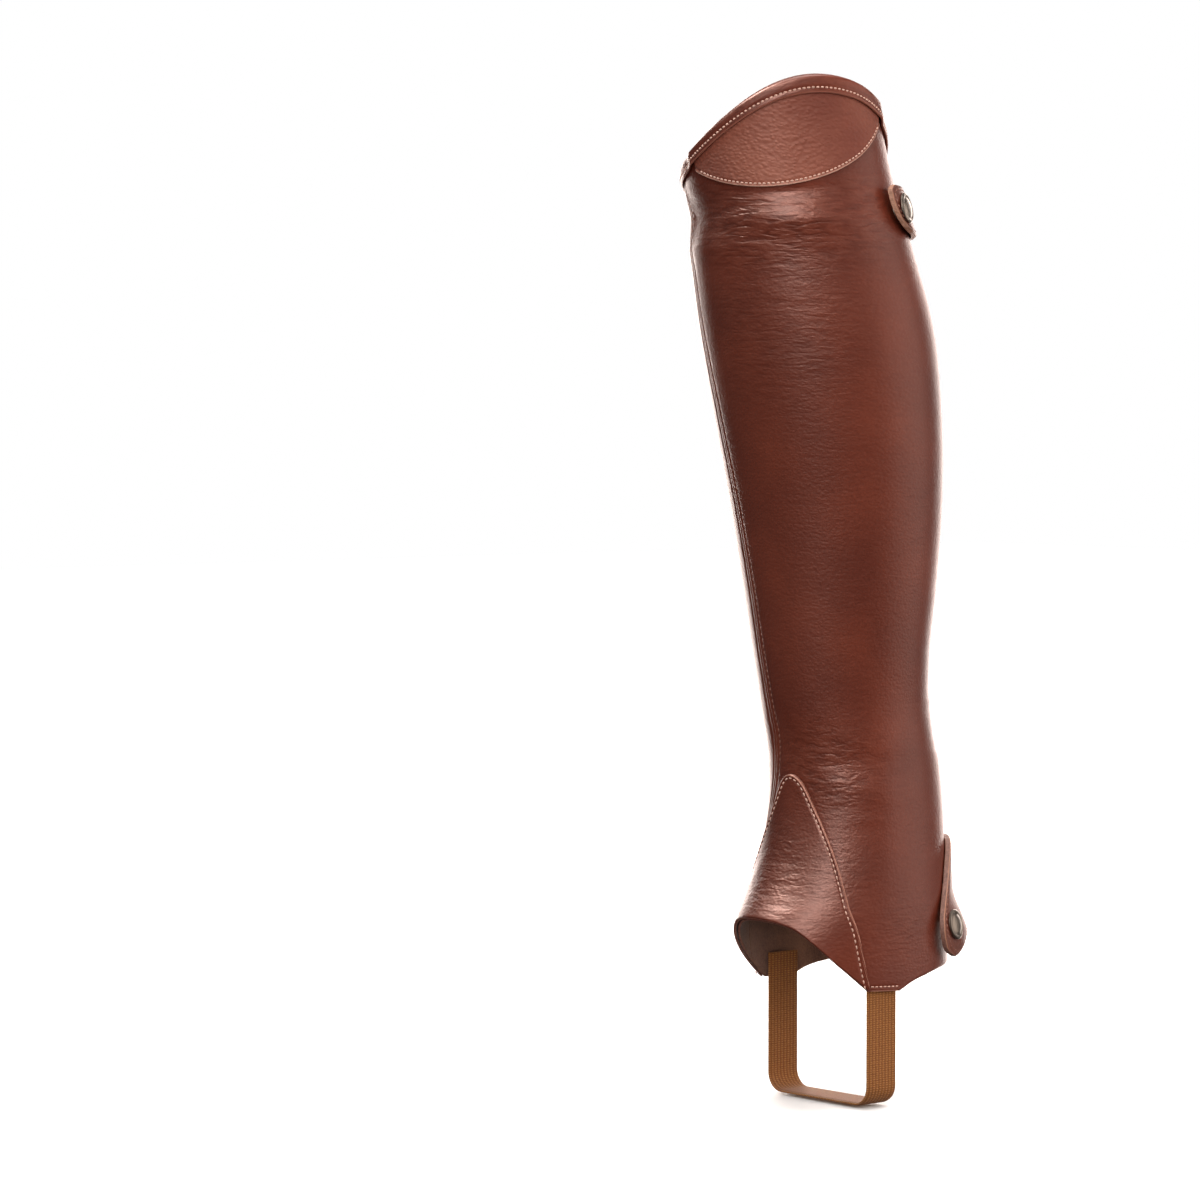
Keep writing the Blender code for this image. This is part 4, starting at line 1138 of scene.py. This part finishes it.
for node, azimuth, height, stand in (
    ("top_snap_cap", TOP_SNAP_AT, top_tab_middle(TOP_SNAP_AT), top_tab_stand),
    ("bottom_snap_cap", FIN_SNAP_AT, FIN_SNAP_HEIGHT, fin_stand),
):
    bpy.ops.mesh.primitive_cylinder_add(
        vertices=56, radius=CAP_RADIUS * MM, depth=0.6 * MM, end_fill_type="NGON")
    cap = bpy.context.object
    for face in cap.data.polygons:
        face.select = face.normal.z > 0.9
    for edge in cap.data.edges:
        edge.select = False
    for corner in cap.data.vertices:
        corner.select = corner.co.z > 0
    bpy.ops.object.mode_set(mode="EDIT")
    bpy.ops.mesh.select_mode(type="FACE")
    for inset, rise in CAP_STEPS:
        bpy.ops.mesh.inset(thickness=inset * MM, depth=rise * MM)
    bpy.ops.object.mode_set(mode="OBJECT")
    foot = TAB_LEATHER + SEAM_GAP + 0.3
    cap.matrix_world = seat(azimuth, height, stand) @ Matrix.Translation((0, 0, foot * MM))
    finished(cap, node + "_plated", "chap", nickel, node)
for snap_node in ("top_snap_socket", "top_snap_stud", "bottom_snap_socket", "bottom_snap_stud"):
    cad_nodes[snap_node].data.materials.clear()
    cad_nodes[snap_node].data.materials.append(nickel)


# The strap is knitted elastic, 19 mm wide, sewn inside the hem's two tongues. It passes under
# the sole in front of the heel and is drawn taut
STRAP_WIDTH = 19.0
STRAP_THICK = 1.6
STRAP_CENTRE = -8.0
STRAP_OUTER = 36.9
STRAP_INNER = -35.6
STRAP_TOP = -122.0
STRAP_FOOT = -191.0
STRAP_BEND = 9.0
elastic = woven_material("brown_ribbed_elastic", "#6d3d17", "#a56b38", 2.1, 1.1, 0.22, 0.8)

# Its middle line runs down the outer side, under the sole and up again, as x, z and turn
right, left = STRAP_OUTER - STRAP_THICK / 2, STRAP_INNER + STRAP_THICK / 2
foot = STRAP_FOOT + STRAP_THICK / 2
straight = np.linspace(STRAP_TOP, foot + STRAP_BEND, 40)
flat_run = np.linspace(right - STRAP_BEND, left + STRAP_BEND, 30)[1:-1]
turns = np.linspace(0, math.pi / 2, 12)
bends = [
    (edge + STRAP_BEND * math.cos(turn), foot + STRAP_BEND * (1 - math.sin(turn)), turn)
    for edge, quarter in ((right - STRAP_BEND, turns[1:]), (left + STRAP_BEND, turns + math.pi / 2))
    for turn in quarter
]
middle = np.array([
    *((right, z, 0.0) for z in straight), *bends[:11], *((x, foot, math.pi / 2) for x in flat_run),
    *bends[11:], *((left, z, math.pi) for z in straight[-2::-1])])
across = np.linspace(-0.5, 0.5, 21)
rounded = 0.45 * np.clip(np.abs(across) * 2 - 0.86, 0, 1) / 0.14
run = np.concatenate([[0], np.cumsum(np.hypot(*np.diff(middle[:, :2], axis=0).T))])
faces = []
for thick in (STRAP_THICK / 2 - rounded, rounded - STRAP_THICK / 2):
    x = middle[:, 0:1] + thick * np.cos(middle[:, 2:3])
    z = middle[:, 1:2] - thick * np.sin(middle[:, 2:3])
    faces.append(np.stack([x, STRAP_CENTRE + STRAP_WIDTH * across + 0 * x, z], -1))
places = across[None, :] * STRAP_WIDTH / MM_PER_DEGREE, run[:, None]
strap = leather_mesh("foot_strap_elastic", *faces, *places, {})
outward_faces(strap.data)
cut_and_sewn(strap, "foot_strap", [elastic] * 3)
for side, name in ((1, "outer"), (-1, "inner")):
    tongue_line = side * np.linspace(TONGUE_FRONT + 1.0, TONGUE_BACK - 1.0, 80)
    stitch_row(
        "tongue_stitches_" + name, tongue_line, hem(tongue_line) + HEM_SEWN_UP, -0.2, pale_thread,
        pitch=2.4, long=1.9)


# The studio has a pale paper floor under the strap. A high soft key and its shine light the shin,
# a wide strip on the left and a veil and a strip on the right draw the pale edges down the leather,
# and a broad overhead light fills the shade. A lamp gives shade, gloss or both
FLOOR = 6.0
FLOOR_AT = -0.1922
floor_corners = [(x * FLOOR, y * FLOOR, FLOOR_AT) for x, y in ((-1, -1), (1, -1), (1, 1), (-1, 1))]
floor = bare_piece("floor", floor_corners, [(0, 1, 2, 3)])
floor_material, floor_tree, floor_shader = bare_material("pale_paper")
set_inputs(floor_tree, floor_shader, {"Base Color": linear("#f6f5f3"), "Roughness": 0.85})
floor.data.materials.append(floor_material)
floor.visible_diffuse = False
floor.visible_glossy = False

# Name, azimuth, height, distance, width and height of the box, watts, what it gives, and colour
LIT_POINT = Vector((0, 0, 0.08))
for name, azimuth, height, distance, wide, tall, watts, gives, colour in (
    ("key", 36.0, 0.66, 1.5, 0.8, 1.5, 16.5, "both", "#ffffff"),
    ("shine", 46.0, 1.0, 1.5, 0.9, 0.7, 36.0, "gloss", "#fff0e8"),
    ("fill", 88.0, 0.8, 2.0, 1.2, 1.2, 14.0, "shade", "#ffffff"),
    ("instep", -30.0, 1.7, 1.1, 1.0, 0.8, 125.0, "gloss", "#fff0e8"),
    ("left_strip", -118.0, 0.1, 1.4, 1.1, 1.4, 46.0, "gloss", "#fff0e8"),
    ("left_fill", -120.0, 0.1, 1.3, 0.4, 1.4, 22.0, "shade", "#fff0e8"),
    ("right_strip", 206.0, 0.1, 1.3, 0.5, 1.4, 15.0, "both", "#fff0e8"),
    ("right_veil", 140.0, 0.2, 1.6, 1.5, 1.5, 13.0, "both", "#fff0e8"),
):
    light = bpy.data.lights.new(name, "AREA")
    light.shape = "RECTANGLE"
    light.size = wide
    light.size_y = tall
    light.energy = watts
    light.color = linear(colour)[:3]
    lamp = placed(name, light)
    angle = math.radians(azimuth)
    lamp.location = (distance * math.sin(angle), -distance * math.cos(angle), height)
    lamp.rotation_euler = (LIT_POINT - lamp.location).to_track_quat("-Z", "Y").to_euler()
    lamp.visible_glossy = gives != "shade"
    lamp.visible_diffuse = gives != "gloss"
overhead_data = bpy.data.lights.new("overhead", "SUN")
overhead_data.energy = 3.0
overhead_data.angle = math.radians(40)
overhead = placed("overhead", overhead_data)
overhead.rotation_euler = (math.radians(-8), 0.0, 0.0)

world = bpy.data.worlds.new("studio")
world.use_nodes = True
bpy.context.scene.world = world
room = world.node_tree
for_gloss, for_camera = (
    add_node(room, "LightPath", {}, ray) for ray in ("Is Glossy Ray", "Is Camera Ray")
)
dimmer = add_node(room, "MapRange", {"Value": for_gloss, "To Min": 0.3, "To Max": 0.05})
brightness = add_node(room, "MapRange", {"Value": for_camera, "To Min": dimmer, "To Max": 1.0})
backdrop = {"Color": linear("#ffffff"), "Strength": brightness}
set_inputs(room, room.nodes["Background"], backdrop)
bpy.context.scene.view_settings.view_transform = "Standard"
